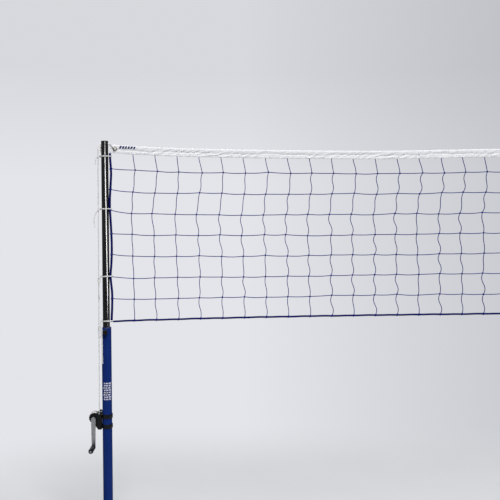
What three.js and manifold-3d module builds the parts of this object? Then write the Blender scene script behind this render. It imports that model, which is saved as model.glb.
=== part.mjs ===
// A volleyball net on two free-standing posts. Each post is a tube that telescopes in a lower
// tube, which stands in a weighted steel base on wheels; a winch on the left post tightens the net.
// Millimetres, +Z up, +X along the net, origin on the floor midway between the posts.
import * as THREE from 'three';
import { mergeVertices } from 'three/addons/utils/BufferGeometryUtils.js';
import Module from 'manifold-3d';

const wasm = await Module();
wasm.setup();

const GAP = 0.3; // between pieces that touch

// Net
const CELL = 120; // knot to knot
const COLUMNS = 79;
const NET_TOP = 2240; // top edge of the head band, beside a post
const NET_BOTTOM = 1285; // bottom rope, beside a post
const EDGE_TO_POST = 32; // from the net's end string to the post's axis
const NET_THICK = 3;
const NET_STEPS = 26; // straight stretches that its long curves are made of
const BAND_HEIGHT = 44;
const BAND_THICK = 1.2;
const HEAD_ROPE_R = 2.5;
const FOOT_ROPE_R = 4;
const SIDE_ROPE_R = 5;
const SIDE_NEAR = 25; // side rope to post axis where it is tied to the tube
const NET_SIDE = 48; // net's lower corners to post axis
const EYELET_X = 56; // from the post's axis
const EYELET_Z = 2218;
const EYELET_R = 7;

// Posts
const POST_X = (COLUMNS * CELL) / 2 + EDGE_TO_POST;
const POST_TOP = 2260;
const UPPER_R = 19;
const UPPER_BOTTOM = 900;
const LOWER_R = 26;
const LOWER_TOP = 1248;
const WALL = 2;
const COLLAR_TOP = 1254;
const COLLAR_BOTTOM = 1190;
const KNOB_Z = 1231;
const KNOB_R = 14;
const KNOB_LOBES = 5;
const SCREW_R = 4;
const SPOT_HOLES = [1401, 1446, 1761]; // height marks drilled in the front of the upper tube

// Head line and its pulley
const LINE_R = 2.5;
const LINE_RUN = 22; // line's centre to the pulley's axis
const SHEAVE_X = -14;
const SHEAVE_Z = 2222;
const SHEAVE_R = 24;
const GROOVE_R = 19;
const SHEAVE_WIDTH = 10;
const AXLE_R = 3;
const EYE_Y = -31; // ring of the other post's eye bolt
const EYE_Z = 2238;
const EYE_R = 8;

// Ties and their loose ends
const TIE_R = 2;
const TIES = [ // reach is from the post's axis to the side rope's
  { name: 'top', z: 2178, reach: 28 },
  { name: 'upper', z: 1896, reach: SIDE_NEAR },
  { name: 'lower', z: 1532, reach: SIDE_NEAR },
  { name: 'bottom', z: 1289, reach: 29 },
];
const SIDE_ROUTE = [ // side rope, from the net's lower corner to the band: from the post's axis, and height
  [30, 1282], [29, 1297], [32, 1365], [32.5, 1440], [SIDE_NEAR, 1532], [30, 1600], [33, 1680], [31.5, 1760],
  [28, 1835], [SIDE_NEAR, 1896], [SIDE_NEAR, 1945], [30.5, 2034], [33, 2090], [28, 2178], [28, 2194.5],
];
const KNOT_R = 6;
const TAILS = {
  top: [
    [-27.2, -6.6, -1.5],
    [-40, -10, -7],
    [-47, -12, -18],
    [-50, -12, -32],
    [-49, -11, -46],
  ],
  upper: [
    [-27.2, -6.6, -1.5],
    [-39, -11, -10],
    [-48, -14, -24],
    [-55, -15, -42],
    [-58, -14, -62],
    [-57, -12, -82],
    [-54, -11, -98],
  ],
  lower: [
    [-27.2, -6.6, -1.5],
    [-33, -10, -18],
    [-34, -12, -40],
    [-37, -12, -70],
    [-36, -11, -100],
    [-32, -11, -128],
  ],
  bottom: [
    [-24.5, -7.6, -1.5],
    [-23, -15, -9],
    [-20, -22, -22],
    [-19, -26, -45],
    [-18.5, -27, -85],
    [-18, -27, -135],
    [-18.5, -27, -185],
    [-17.5, -27.2, -215],
    [-17, -27.5, -232],
  ],
};

// Winch
const DRUM_X = -68; // from the left post's axis
const DRUM_Z = 758;
const DRUM_CORE_R = 21;
const DRUM_FLANGE_R = 30;
const DRUM_HALF = 19.5;
const FLANGE_THICK = 3;
const TEETH = 16;
const TOOTH = 4;
const SHAFT_R = 6;
const CHEEK_Y = 24; // inner face of the winch's side plates
const CHEEK_THICK = 3;
const CRANK_Y = -46; // front face of the crank arm
const CRANK_LENGTH = 150;
const CRANK_THICK = 6;
const PAWL_PIVOT = [-40, 786];
const PAWL_RAISED = 5; // degrees off the ratchet
const LINE_END = { x: DRUM_X + 25, z: DRUM_Z };

// Base
const PLATE_BOTTOM = 6;
const PLATE_TOP = 14;
const PLATE_INNER = 120; // from the post's axis, towards the court
const PLATE_OUTER = -600;
const PLATE_HALF = 300;
const PLATE_NOTCH = [60, 72]; // room for each wheel, along X and along Y
const FOOT_WIDTH = 40;
const FOOT_X = [95, -520];
const SOCKET_R = 32;
const SOCKET_TOP = 170;
const GUSSET = [70, 110];
const WEIGHT = [300, 420, 50];
const WEIGHT_X = -330;
const STUD_R = 9;
const STUD_Y = 140;
const STUD_TOP = 140;
const WHEEL_R = 50;
const WHEEL_WIDTH = 26;
const WHEEL_X = -612;
const WHEEL_Z = 53;
const WHEEL_Y = 258;
const EAR_Y = 225;
const EAR_THICK = 8;

const COLORS = {
  blue: [0x12337a, 0.4, 0.3],
  black: [0x0b0b0c, 0.25, 0.3],
  plastic: [0x141416, 0.5, 0],
  steel: [0x9a9ca0, 0.35, 0.9],
  iron: [0x1b1c1e, 0.6, 0.4],
  rubber: [0x101010, 0.9, 0],
  nylon: [0xe8e6dd, 0.45, 0],
  band: [0xf4f5f6, 0.4, 0],
  navy: [0x1c2f8f, 0.7, 0],
  white: [0xeeeae0, 0.8, 0],
  brass: [0x8d8663, 0.4, 0.8],
};

// ---- geometry helpers ----

function outward(geometry) {
  const p = geometry.getAttribute('position');
  const index = geometry.index ? geometry.index.array : [...Array(p.count).keys()];
  const [a, b, c] = [new THREE.Vector3(), new THREE.Vector3(), new THREE.Vector3()];
  let volume = 0;
  for (let i = 0; i < index.length; i += 3) {
    a.fromBufferAttribute(p, index[i]);
    b.fromBufferAttribute(p, index[i + 1]);
    c.fromBufferAttribute(p, index[i + 2]);
    volume += a.dot(b.cross(c));
  }
  if (volume > 0) return geometry;
  const turned = Array.from(index);
  for (let i = 0; i < turned.length; i += 3) {
    [turned[i + 1], turned[i + 2]] = [turned[i + 2], turned[i + 1]];
  }
  geometry.setIndex(turned);
  return geometry;
}

function solid(geometry) {
  const bare = outward(geometry.clone());
  bare.deleteAttribute('normal');
  bare.deleteAttribute('uv');
  const merged = mergeVertices(bare, 1e-3);
  return new wasm.Manifold(new wasm.Mesh({
    numProp: 3,
    vertProperties: new Float32Array(merged.getAttribute('position').array),
    triVerts: new Uint32Array(merged.index.array),
  }));
}

function surface(manifold) {
  const mesh = manifold.getMesh();
  const geometry = new THREE.BufferGeometry();
  geometry.setAttribute('position', new THREE.BufferAttribute(mesh.vertProperties, 3));
  geometry.setIndex(new THREE.BufferAttribute(mesh.triVerts, 1));
  return geometry;
}

function join(...geometries) {
  return surface(geometries.map(solid).reduce((whole, next) => whole.add(next)));
}

function cut(geometry, ...tools) {
  return surface(tools.map(solid).reduce((whole, tool) => whole.subtract(tool), solid(geometry)));
}

// A body turned round +Z from [radius, height] points.
function turned(profile, segments = 20) {
  const points = profile.map(([r, z]) => new THREE.Vector2(r, z));
  return outward(new THREE.LatheGeometry(points, segments).rotateX(Math.PI / 2));
}

function ring(inner, outer, low, high, segments = 20) {
  return turned([[inner, low], [outer, low], [outer, high], [inner, high], [inner, low]], segments);
}

function rod(radius, low, high, segments = 12) {
  return turned([[0, low], [radius, low], [radius, high], [0, high]], segments);
}

// The same bodies lying along Y, from +Z turned towards -Y.
function alongY(geometry, x, z) {
  return geometry.rotateX(Math.PI / 2).translate(x, 0, z);
}

function box(x0, x1, y0, y1, z0, z1) {
  const geometry = new THREE.BoxGeometry(x1 - x0, y1 - y0, z1 - z0);
  return geometry.translate((x0 + x1) / 2, (y0 + y1) / 2, (z0 + z1) / 2);
}

function outline(points) {
  return new THREE.Shape(points.map(([x, y]) => new THREE.Vector2(x, y)));
}

// A plate whose outline lies in X and Z, from y0 to y1.
function upright(shape, y0, y1) {
  const geometry = new THREE.ExtrudeGeometry(shape, { depth: y1 - y0, bevelEnabled: false });
  return geometry.rotateX(Math.PI / 2).translate(0, y1, 0);
}

// A plate whose outline lies in X and Y, from z0 to z1.
function level(shape, z0, z1) {
  const geometry = new THREE.ExtrudeGeometry(shape, { depth: z1 - z0, bevelEnabled: false });
  return geometry.translate(0, 0, z0);
}

function circle(radius, sides) {
  const points = [];
  for (let i = 0; i < sides; i += 1) {
    const turn = (2 * Math.PI * i) / sides;
    points.push([radius * Math.cos(turn), radius * Math.sin(turn)]);
  }
  return points;
}

function cord(points, radius, steps, sides = 8) {
  const path = new THREE.CatmullRomCurve3(points.map((p) => new THREE.Vector3(...p)));
  const settings = { steps, extrudePath: path, bevelEnabled: false };
  return outward(new THREE.ExtrudeGeometry(outline(circle(radius, sides)), settings));
}

// A section given as [y, z] points, run along X between two places and lifted to a curve.
function lengthwise(section, from, to, steps, height) {
  const settings = { depth: to - from, steps, bevelEnabled: false };
  const geometry = new THREE.ExtrudeGeometry(outline(section), settings);
  const cyclic = new THREE.Matrix4().makeBasis(
    new THREE.Vector3(0, 1, 0),
    new THREE.Vector3(0, 0, 1),
    new THREE.Vector3(1, 0, 0),
  );
  geometry.applyMatrix4(cyclic).translate(from, 0, 0);
  const p = geometry.getAttribute('position');
  for (let i = 0; i < p.count; i += 1) p.setZ(i, p.getZ(i) + height(p.getX(i)));
  return outward(geometry);
}

function mesh(name, geometry, look) {
  const [color, roughness, metalness] = COLORS[look];
  const material = new THREE.MeshStandardMaterial({ color, roughness, metalness });
  const made = new THREE.Mesh(geometry, material);
  made.name = name;
  return made;
}

// ---- net, in the whole object's frame ----

function fromPost(x) {
  return POST_X - EDGE_TO_POST - Math.abs(x);
}

// The band sags beside each post, and less between the two sags.
function headHeight(x) {
  const away = Math.max(0, fromPost(x));
  return NET_TOP - 31 * (1 - Math.exp(-away / 420)) + 15 * THREE.MathUtils.smoothstep(away, 1350, 2250);
}

function footHeight(x) {
  return NET_BOTTOM + 40 * (1 - Math.exp(-Math.max(0, fromPost(x)) / 1200));
}

function bandSection() {
  const outer = [[-3, -BAND_HEIGHT], [-4.8, -6], [-3.6, -1.4], [0, 0], [3.6, -1.4], [4.8, -6], [3, -BAND_HEIGHT]];
  const t = BAND_THICK;
  const inner = [[3 - t, -BAND_HEIGHT], [4.8 - t, -6.3], [2.7, -2.5], [0, -t], [-2.7, -2.5], [t - 4.8, -6.3]];
  return [...outer, ...inner, [t - 3, -BAND_HEIGHT]];
}

function eyeletHole(side) {
  return alongY(rod(EYELET_R + 2.2, -12, 12), side * (POST_X - EYELET_X), EYELET_Z);
}

function netParts() {
  const end = POST_X - SIDE_NEAR - 2;
  const band = lengthwise(bandSection(), -end, end, NET_STEPS, headHeight);
  const slabEnd = POST_X - NET_SIDE;
  const slab = [];
  for (let i = 0; i <= NET_STEPS; i += 1) {
    const x = -slabEnd + (2 * slabEnd * i) / NET_STEPS;
    slab.push([x, footHeight(x) + FOOT_ROPE_R + 1.5]);
  }
  for (let i = NET_STEPS; i >= 0; i -= 1) {
    const x = -slabEnd + (2 * slabEnd * i) / NET_STEPS;
    slab.push([x, headHeight(x) - BAND_HEIGHT + 5]);
  }
  const headEnd = end - 4;
  return [
    mesh('net_mesh', upright(outline(slab), -NET_THICK / 2, NET_THICK / 2), 'navy'),
    mesh('head_band', cut(band, eyeletHole(-1), eyeletHole(1)), 'band'),
    mesh('head_rope', lengthwise(circle(HEAD_ROPE_R, 8), -headEnd, headEnd, NET_STEPS,
      (x) => headHeight(x) - BAND_THICK - HEAD_ROPE_R - 1), 'white'),
    mesh('bottom_rope', lengthwise(circle(FOOT_ROPE_R, 8), -slabEnd, slabEnd, NET_STEPS, footHeight), 'navy'),
  ];
}

// ---- pieces of one post, in its own frame: axis at x = 0, floor at z = 0, +X towards the court ----

function sideRope(name) {
  return mesh(name, cord(SIDE_ROUTE.map(([x, z]) => [x, 0, z]), SIDE_ROPE_R, 30), 'navy');
}

function eyelet(name) {
  const half = 5.5;
  const profile = [
    [EYELET_R, -half - 1], [EYELET_R + 5.5, -half - 1], [EYELET_R + 5.5, -half], [EYELET_R + 1.8, -half],
    [EYELET_R + 1.8, half], [EYELET_R + 5.5, half], [EYELET_R + 5.5, half + 1], [EYELET_R, half + 1],
    [EYELET_R, -half - 1],
  ];
  return mesh(name, alongY(turned(profile, 16), EYELET_X, EYELET_Z), 'brass');
}

// A cord round the tube and the side rope, with its knot on the outer side.
function tieLoop(name, z, reach) {
  const big = UPPER_R + TIE_R + 1;
  const small = SIDE_ROPE_R + TIE_R + 2.5;
  const turn = Math.acos((big - small) / reach);
  const points = [];
  for (let i = 0; i <= 5; i += 1) {
    const at = Math.PI + 0.15 + ((Math.PI - turn - 0.15) * i) / 5;
    points.push([big * Math.cos(at), big * Math.sin(at), z]);
  }
  for (let i = 0; i <= 4; i += 1) {
    const at = -turn + (2 * turn * i) / 4;
    points.push([reach + small * Math.cos(at), small * Math.sin(at), z]);
  }
  for (let i = 0; i <= 5; i += 1) {
    const at = turn + ((Math.PI - turn - 0.15) * i) / 5;
    points.push([big * Math.cos(at), big * Math.sin(at), z]);
  }
  const knot = new THREE.SphereGeometry(KNOT_R, 6, 5).scale(0.7, 1, 0.9).translate(-big - 2, 0, z);
  return mesh(name, join(cord(points, TIE_R, 20), knot), 'white');
}

function tail(name, tie) {
  const points = TAILS[tie.name].map(([x, y, z]) => [x, y, tie.z + z]);
  return mesh(name, cord(points, TIE_R, points.length > 7 ? 14 : 8), 'white');
}

function ties(side) {
  const made = [];
  for (const tie of TIES) {
    made.push(tieLoop(`${side}_tie_${tie.name}`, tie.z, tie.reach));
    made.push(tail(`${side}_tail_${tie.name}`, tie));
  }
  return made;
}

function screwHole() {
  return alongY(rod(SCREW_R + GAP, 0, 60), 0, KNOB_Z);
}

function lowerTube(name) {
  const tube = ring(LOWER_R - WALL, LOWER_R, PLATE_TOP + GAP, LOWER_TOP);
  const boss = alongY(rod(9, LOWER_R - 1, LOWER_R + 5), 0, KNOB_Z);
  const stop = alongY(rod(4, -LOWER_R - 3, LOWER_R + 3, 12), 0, UPPER_BOTTOM - GAP - 4);
  return mesh(name, cut(join(tube, boss, stop), screwHole()), 'blue');
}

function collar(name) {
  const inner = UPPER_R + GAP;
  const sleeve = LOWER_R - WALL - GAP;
  const profile = [
    [inner, COLLAR_BOTTOM], [sleeve, COLLAR_BOTTOM], [sleeve, LOWER_TOP + GAP], [LOWER_R + 0.5, LOWER_TOP + GAP],
    [LOWER_R + 0.5, COLLAR_TOP - 1.5], [LOWER_R - 1, COLLAR_TOP], [inner, COLLAR_TOP], [inner, COLLAR_BOTTOM],
  ];
  return mesh(name, cut(turned(profile), screwHole()), 'blue');
}

function knob(name) {
  const points = [];
  for (let i = 0; i < 8 * KNOB_LOBES; i += 1) {
    const at = (2 * Math.PI * i) / (8 * KNOB_LOBES);
    const r = KNOB_R - 1.6 + 1.6 * Math.cos(KNOB_LOBES * at);
    points.push([r * Math.cos(at), KNOB_Z + r * Math.sin(at)]);
  }
  const grip = upright(outline(points), -LOWER_R - 24, -LOWER_R - 8);
  const shank = alongY(rod(SCREW_R, UPPER_R + GAP, LOWER_R + 10), 0, KNOB_Z);
  return mesh(name, join(grip, shank), 'plastic');
}

function upperTube(name, pulley) {
  const tube = ring(UPPER_R - WALL, UPPER_R, UPPER_BOTTOM, POST_TOP - 3 - GAP);
  const holes = SPOT_HOLES.map((z) => alongY(rod(3.5, UPPER_R - WALL - 1, UPPER_R + 2, 12), 0, z));
  if (pulley) {
    const half = SHEAVE_WIDTH / 2 + 1.5;
    holes.push(box(-UPPER_R - 5, UPPER_R + 5, -half, half, SHEAVE_Z - SHEAVE_R - 5, SHEAVE_Z + SHEAVE_R + 5));
    holes.push(alongY(rod(AXLE_R + GAP, -30, 30), SHEAVE_X, SHEAVE_Z));
  } else {
    holes.push(alongY(rod(AXLE_R + GAP, -30, 30), 0, EYE_Z));
  }
  return mesh(name, cut(tube, ...holes), 'black');
}

function cap(name) {
  const plug = UPPER_R - WALL - GAP;
  const profile = [
    [0, POST_TOP - 9], [plug, POST_TOP - 9], [plug, POST_TOP - 3], [UPPER_R, POST_TOP - 3],
    [UPPER_R, POST_TOP - 1], [UPPER_R - 1.5, POST_TOP], [0, POST_TOP],
  ];
  return mesh(name, turned(profile), 'plastic');
}

function sheave(name) {
  const half = SHEAVE_WIDTH / 2;
  const profile = [
    [AXLE_R + GAP, -half], [SHEAVE_R, -half], [SHEAVE_R, 1 - half], [GROOVE_R, -2],
    [GROOVE_R, 2], [SHEAVE_R, half - 1], [SHEAVE_R, half], [AXLE_R + GAP, half], [AXLE_R + GAP, -half],
  ];
  return mesh(name, alongY(turned(profile), SHEAVE_X, SHEAVE_Z), 'nylon');
}

function sheaveAxle(name) {
  const profile = [[0, -18], [AXLE_R, -18], [AXLE_R, 17.6], [5.5, 17.6], [5.5, 21], [0, 21]];
  return mesh(name, alongY(turned(profile, 12), SHEAVE_X, SHEAVE_Z), 'steel');
}

function eyeBolt(name) {
  const shank = alongY(rod(AXLE_R, -UPPER_R - 8, -EYE_Y - EYE_R), 0, EYE_Z);
  const nut = alongY(rod(6.5, -UPPER_R - 6, -UPPER_R - 1, 6), 0, EYE_Z);
  const eye = new THREE.TorusGeometry(EYE_R, AXLE_R, 8, 14).rotateY(Math.PI / 2).translate(0, EYE_Y, EYE_Z);
  return mesh(name, join(shank, nut, eye), 'steel');
}

// From a knot in front of the eyelet, over the sheave, to where the tension rope goes down.
function headLine(name) {
  const points = [[EYELET_X, -13, EYELET_Z], [42, -12, EYELET_Z + 13], [30, -9.5, EYELET_Z + 24],
    [20, -3.5, SHEAVE_Z + LINE_RUN - 0.5], [6, 0, SHEAVE_Z + LINE_RUN]];
  for (const degrees of [90, 120, 150, 178]) {
    const at = THREE.MathUtils.degToRad(degrees);
    points.push([SHEAVE_X + LINE_RUN * Math.cos(at), 0, SHEAVE_Z + LINE_RUN * Math.sin(at)]);
  }
  const knot = new THREE.SphereGeometry(7, 8, 6).translate(EYELET_X, -14, EYELET_Z);
  return mesh(name, join(cord(points, LINE_R, 18), knot), 'white');
}

// The same line at the other post, which goes through the eye bolt to a stopper knot.
function fixedLine(name) {
  const points = [[EYELET_X, -13, EYELET_Z], [40, -19, EYELET_Z + 12], [18, EYE_Y + 2, EYE_Z - 1],
    [0, EYE_Y, EYE_Z], [-10, EYE_Y, EYE_Z]];
  const knots = [[EYELET_X, -14, EYELET_Z], [-13, EYE_Y, EYE_Z]];
  const balls = knots.map((at) => new THREE.SphereGeometry(7, 8, 6).translate(...at));
  return mesh(name, join(cord(points, LINE_R, 10), ...balls), 'white');
}

function tensionRope(name) {
  const top = [SHEAVE_X - LINE_RUN, 0, SHEAVE_Z - 0.6];
  const points = [0, 0.25, 0.5, 0.75, 1].map((t) => [
    top[0] + (LINE_END.x - top[0]) * t, 0, top[2] + (LINE_END.z - top[2]) * t,
  ]);
  return mesh(name, cord(points, LINE_R, 4), 'white');
}

// ---- winch ----

function cheek(y0, y1) {
  const shape = new THREE.Shape();
  shape.moveTo(-28, 696);
  shape.lineTo(-28, 776);
  shape.lineTo(-33, 794);
  shape.lineTo(-45, 794);
  shape.lineTo(-56, 782);
  shape.lineTo(DRUM_X, DRUM_Z + 20);
  shape.absarc(DRUM_X, DRUM_Z, 20, Math.PI / 2, (5 * Math.PI) / 4, false);
  shape.lineTo(-45, 696);
  shape.closePath();
  return upright(shape, y0, y1);
}

function winchBracket() {
  const outer = CHEEK_Y + CHEEK_THICK;
  const bands = [700, 755].map((z) => ring(LOWER_R + GAP, LOWER_R + 3.5, z, z + 22));
  const back = box(-33, -28, -outer, outer, 696, 777);
  const pin = alongY(rod(2.7, 14, CHEEK_Y + 2, 12), ...PAWL_PIVOT);
  const shaftHole = alongY(rod(SHAFT_R + GAP, -40, 40), DRUM_X, DRUM_Z);
  const frame = join(back, ...bands, cheek(-outer, -CHEEK_Y), cheek(CHEEK_Y, outer), pin);
  return mesh('winch_bracket', cut(frame, shaftHole), 'black');
}

function winchDrum() {
  const inner = DRUM_HALF - FLANGE_THICK;
  const core = turned([
    [SHAFT_R + GAP, -DRUM_HALF], [DRUM_FLANGE_R, -DRUM_HALF], [DRUM_FLANGE_R, -inner],
    [DRUM_CORE_R, -inner], [DRUM_CORE_R, inner + 1], [SHAFT_R + GAP, inner + 1], [SHAFT_R + GAP, -DRUM_HALF],
  ]);
  const points = [];
  for (let i = 0; i < TEETH; i += 1) {
    const at = (2 * Math.PI * i) / TEETH;
    points.push([DRUM_FLANGE_R * Math.cos(at), DRUM_FLANGE_R * Math.sin(at)]);
    const root = DRUM_FLANGE_R - TOOTH;
    points.push([root * Math.cos(at + 0.06), root * Math.sin(at + 0.06)]);
  }
  const ratchet = upright(outline(points), -DRUM_HALF, -inner);
  const bore = rod(SHAFT_R + GAP, -40, 40).rotateX(Math.PI / 2);
  const wheel = cut(ratchet, bore);
  return mesh('winch_drum', join(core.rotateX(Math.PI / 2), wheel).translate(DRUM_X, 0, DRUM_Z), 'black');
}

function crankArm() {
  const shaft = alongY(rod(SHAFT_R, -34, -CRANK_Y - 1), DRUM_X, DRUM_Z);
  const washer = alongY(ring(SHAFT_R - 1, 10, -31, -28), DRUM_X, DRUM_Z);
  const shape = new THREE.Shape();
  shape.absarc(DRUM_X, DRUM_Z, 12, 0, Math.PI, false);
  shape.absarc(DRUM_X, DRUM_Z - CRANK_LENGTH, 10, Math.PI, 2 * Math.PI, false);
  shape.closePath();
  const arm = upright(shape, CRANK_Y, CRANK_Y + CRANK_THICK);
  const pin = alongY(rod(5, -CRANK_Y - 1, 130), DRUM_X, DRUM_Z - CRANK_LENGTH);
  return mesh('crank_arm', join(shaft, washer, arm, pin), 'steel');
}

function crankGrip() {
  const profile = [[5 + GAP, 47], [11, 47], [13.5, 60], [12, 90], [13.5, 118], [11, 128], [5 + GAP, 128], [5 + GAP, 47]];
  return mesh('crank_grip', alongY(turned(profile, 16), DRUM_X, DRUM_Z - CRANK_LENGTH), 'plastic');
}

// Its nose drops into a notch of the ratchet; its tail is a thumb lever. It is held raised.
function winchPawl() {
  const [x, z] = PAWL_PIVOT;
  const plate = upright(outline([
    [x + 3, z - 6], [x + 6, z + 1], [x + 16, z + 10], [x + 13, z + 14], [x + 1, z + 6],
    [x - 14, z + 5], [x - 21, z + 0.5], [x - 14.5, z - 0.5], [x - 4, z - 6],
  ]), -DRUM_HALF - 1, -DRUM_HALF + 4);
  const pawl = cut(plate, alongY(rod(3, -30, 30, 12), x, z)).translate(-x, 0, -z);
  return mesh('winch_pawl', pawl.rotateY(THREE.MathUtils.degToRad(PAWL_RAISED)).translate(x, 0, z), 'steel');
}

// ---- base ----

function basePlate(name) {
  const [notchX, notchY] = PLATE_NOTCH;
  const c = 40;
  const half = [
    [PLATE_INNER, PLATE_HALF - c], [PLATE_INNER - c, PLATE_HALF], [PLATE_OUTER + notchX, PLATE_HALF],
    [PLATE_OUTER + notchX, PLATE_HALF - notchY], [PLATE_OUTER, PLATE_HALF - notchY],
  ];
  const plate = level(outline([...half, ...half.map(([x, y]) => [x, -y]).reverse()]), PLATE_BOTTOM, PLATE_TOP);
  const socket = ring(LOWER_R + GAP, SOCKET_R, PLATE_TOP - 1, SOCKET_TOP);
  const [reach, rise] = GUSSET;
  const web = [[SOCKET_R - 2, PLATE_TOP - 1], [SOCKET_R + reach, PLATE_TOP - 1], [SOCKET_R + reach, 24],
    [SOCKET_R + 6, PLATE_TOP + rise], [SOCKET_R - 2, PLATE_TOP + rise]];
  const webs = [0, 1, 2, 3].map((i) => upright(outline(web), -4, 4).rotateZ((i * Math.PI) / 2));
  const studs = [-STUD_Y, STUD_Y].map((y) => rod(STUD_R, PLATE_TOP - 1, STUD_TOP).translate(WEIGHT_X, y, 0));
  const ears = [];
  const stubs = [];
  for (const s of [-1, 1]) {
    const [y0, y1] = [s * EAR_Y - EAR_THICK / 2, s * EAR_Y + EAR_THICK / 2];
    ears.push(upright(outline([[-560, 13], [-560, 40], [-590, 75], [-626, 75], [-626, 30], [-598, 13]]), y0, y1));
    stubs.push(alongY(rod(7, -2, 48), WHEEL_X, WHEEL_Z).translate(0, s > 0 ? EAR_Y + 48 : -EAR_Y + 2, 0));
  }
  return mesh(name, join(plate, socket, ...webs, ...studs, ...ears, ...stubs), 'black');
}

function foot(name, x) {
  return mesh(name, box(x - FOOT_WIDTH / 2, x + FOOT_WIDTH / 2, -230, 230, 0, PLATE_BOTTOM - GAP), 'rubber');
}

function weight(name, z) {
  const [long, wide, high] = WEIGHT;
  const c = 18;
  const corner = [[long / 2, wide / 2 - c], [long / 2 - c, wide / 2], [c - long / 2, wide / 2], [-long / 2, wide / 2 - c]];
  const all = [...corner, ...corner.map(([x, y]) => [x, -y]).reverse()];
  const block = level(outline(all.map(([x, y]) => [x + WEIGHT_X, y])), z, z + high);
  const holes = [-STUD_Y, STUD_Y].map((y) => rod(STUD_R + 1, 0, 200).translate(WEIGHT_X, y, 0));
  return mesh(name, cut(block, ...holes), 'iron');
}

function wheel(name, y) {
  const half = WHEEL_WIDTH / 2;
  const profile = [
    [7 + GAP, -half], [16, -half], [24, 4 - half], [38, -half], [WHEEL_R, 5 - half],
    [WHEEL_R, half - 5], [38, half], [24, half - 4], [16, half], [7 + GAP, half], [7 + GAP, -half],
  ];
  return mesh(name, alongY(turned(profile, 18), WHEEL_X, WHEEL_Z).translate(0, y, 0), 'rubber');
}

function post(side) {
  const left = side === 'left';
  const group = new THREE.Group();
  group.add(
    basePlate(`${side}_base_plate`),
    foot(`${side}_foot_inner`, FOOT_X[0]),
    foot(`${side}_foot_outer`, FOOT_X[1]),
    weight(`${side}_weight_lower`, PLATE_TOP + GAP),
    weight(`${side}_weight_upper`, PLATE_TOP + WEIGHT[2] + 2 * GAP),
    wheel(`${side}_wheel_a`, -WHEEL_Y),
    wheel(`${side}_wheel_b`, WHEEL_Y),
    lowerTube(`${side}_lower_tube`),
    collar(`${side}_collar`),
    knob(`${side}_clamp_knob`),
    upperTube(`${side}_upper_tube`, left),
    cap(`${side}_cap`),
    sideRope(`${side}_side_rope`),
    eyelet(`${side}_eyelet`),
    ...ties(side),
  );
  if (left) {
    group.add(sheave('sheave'), sheaveAxle('sheave_axle'), headLine('left_head_line'), tensionRope('tension_rope'));
    group.add(winchBracket(), winchDrum(), crankArm(), crankGrip(), winchPawl());
  } else {
    group.add(eyeBolt('eye_bolt'), fixedLine('right_head_line'));
  }
  group.position.x = left ? -POST_X : POST_X;
  group.rotation.z = left ? 0 : Math.PI;
  return group;
}

const group = new THREE.Group();
group.add(...netParts(), post('left'), post('right'));

export default group;
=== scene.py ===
"""A volleyball net on two posts: the visible pieces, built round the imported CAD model.

+Z up, +X along the net, origin on the floor midway between the posts. Pieces are shaped in millimetres,
and Shape.build() turns them into metres. The pieces of a post are written in the post's own frame: axis
at x = 0, floor at z = 0, +X towards the court. The right post is the left one turned half a turn.
"""

import math

import bmesh
import bpy
import numpy as np
from mathutils import Matrix, Quaternion, Vector


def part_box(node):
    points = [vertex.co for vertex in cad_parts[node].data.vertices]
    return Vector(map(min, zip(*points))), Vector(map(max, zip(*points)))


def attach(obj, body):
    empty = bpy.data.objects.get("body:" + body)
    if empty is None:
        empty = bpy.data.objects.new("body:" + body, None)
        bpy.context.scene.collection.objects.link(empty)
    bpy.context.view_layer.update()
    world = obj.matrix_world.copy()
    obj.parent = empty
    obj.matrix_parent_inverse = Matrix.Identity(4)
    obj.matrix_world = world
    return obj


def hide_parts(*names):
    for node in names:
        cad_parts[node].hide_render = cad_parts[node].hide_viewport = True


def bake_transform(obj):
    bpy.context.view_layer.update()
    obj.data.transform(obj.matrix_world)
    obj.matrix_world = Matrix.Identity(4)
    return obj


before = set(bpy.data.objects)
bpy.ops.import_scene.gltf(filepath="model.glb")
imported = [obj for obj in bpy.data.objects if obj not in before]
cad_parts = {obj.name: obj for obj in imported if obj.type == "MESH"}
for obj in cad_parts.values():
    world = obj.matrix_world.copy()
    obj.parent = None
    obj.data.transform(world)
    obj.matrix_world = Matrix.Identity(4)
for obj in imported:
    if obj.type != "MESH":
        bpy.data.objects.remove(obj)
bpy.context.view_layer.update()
MM = 0.001
FACING = {"left": 1, "right": -1}  # which way along X each post faces
random = np.random.default_rng(11)


def box(node):
    """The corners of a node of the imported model, in millimetres."""
    return [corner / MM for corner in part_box(node)]


def middle(node):
    low, high = box(node)
    return (low + high) / 2


def size(node):
    low, high = box(node)
    return high - low


# ---- sizes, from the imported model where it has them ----

POST_X = -middle("left_upper_tube").x
UPPER_R = size("left_upper_tube").x / 2
LOWER_R = size("left_collar").x / 2 - 0.5
UPPER_LOW = box("left_upper_tube")[0].z
UPPER_HIGH = box("left_upper_tube")[1].z
LOWER_LOW = box("left_lower_tube")[0].z
LOWER_HIGH = box("left_lower_tube")[1].z
WALL = 2
CELL = 120
COLUMNS = 79
ROWS = 8
HALF_NET = CELL * COLUMNS / 2
BAND_HEIGHT = 44
BAND_END = POST_X - box("head_band")[1].x
NET_TOP, NET_BOTTOM = 2240, 1285
STRING_R = 2.1
FOOT_ROPE_R = 5.1
HEAD_ROPE_R = 2.5
SIDE_ROPE_R = 6.0
LINE_R = 2.5
TIE_R = 2
TIE_LAY = {"lay": 9, "strands": 4, "relief": 0.07}
LINE_LAY = {"lay": 11, "strands": 4, "relief": 0.06}
EYELET = Vector((56, 0, 2218))
TIE_Z = {"top": 2178, "upper": 1896, "lower": 1532, "bottom": 1289}
TIE_REACH = {"top": 28, "upper": 25, "lower": 25, "bottom": 29}  # from the tube's axis to the side rope's
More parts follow.
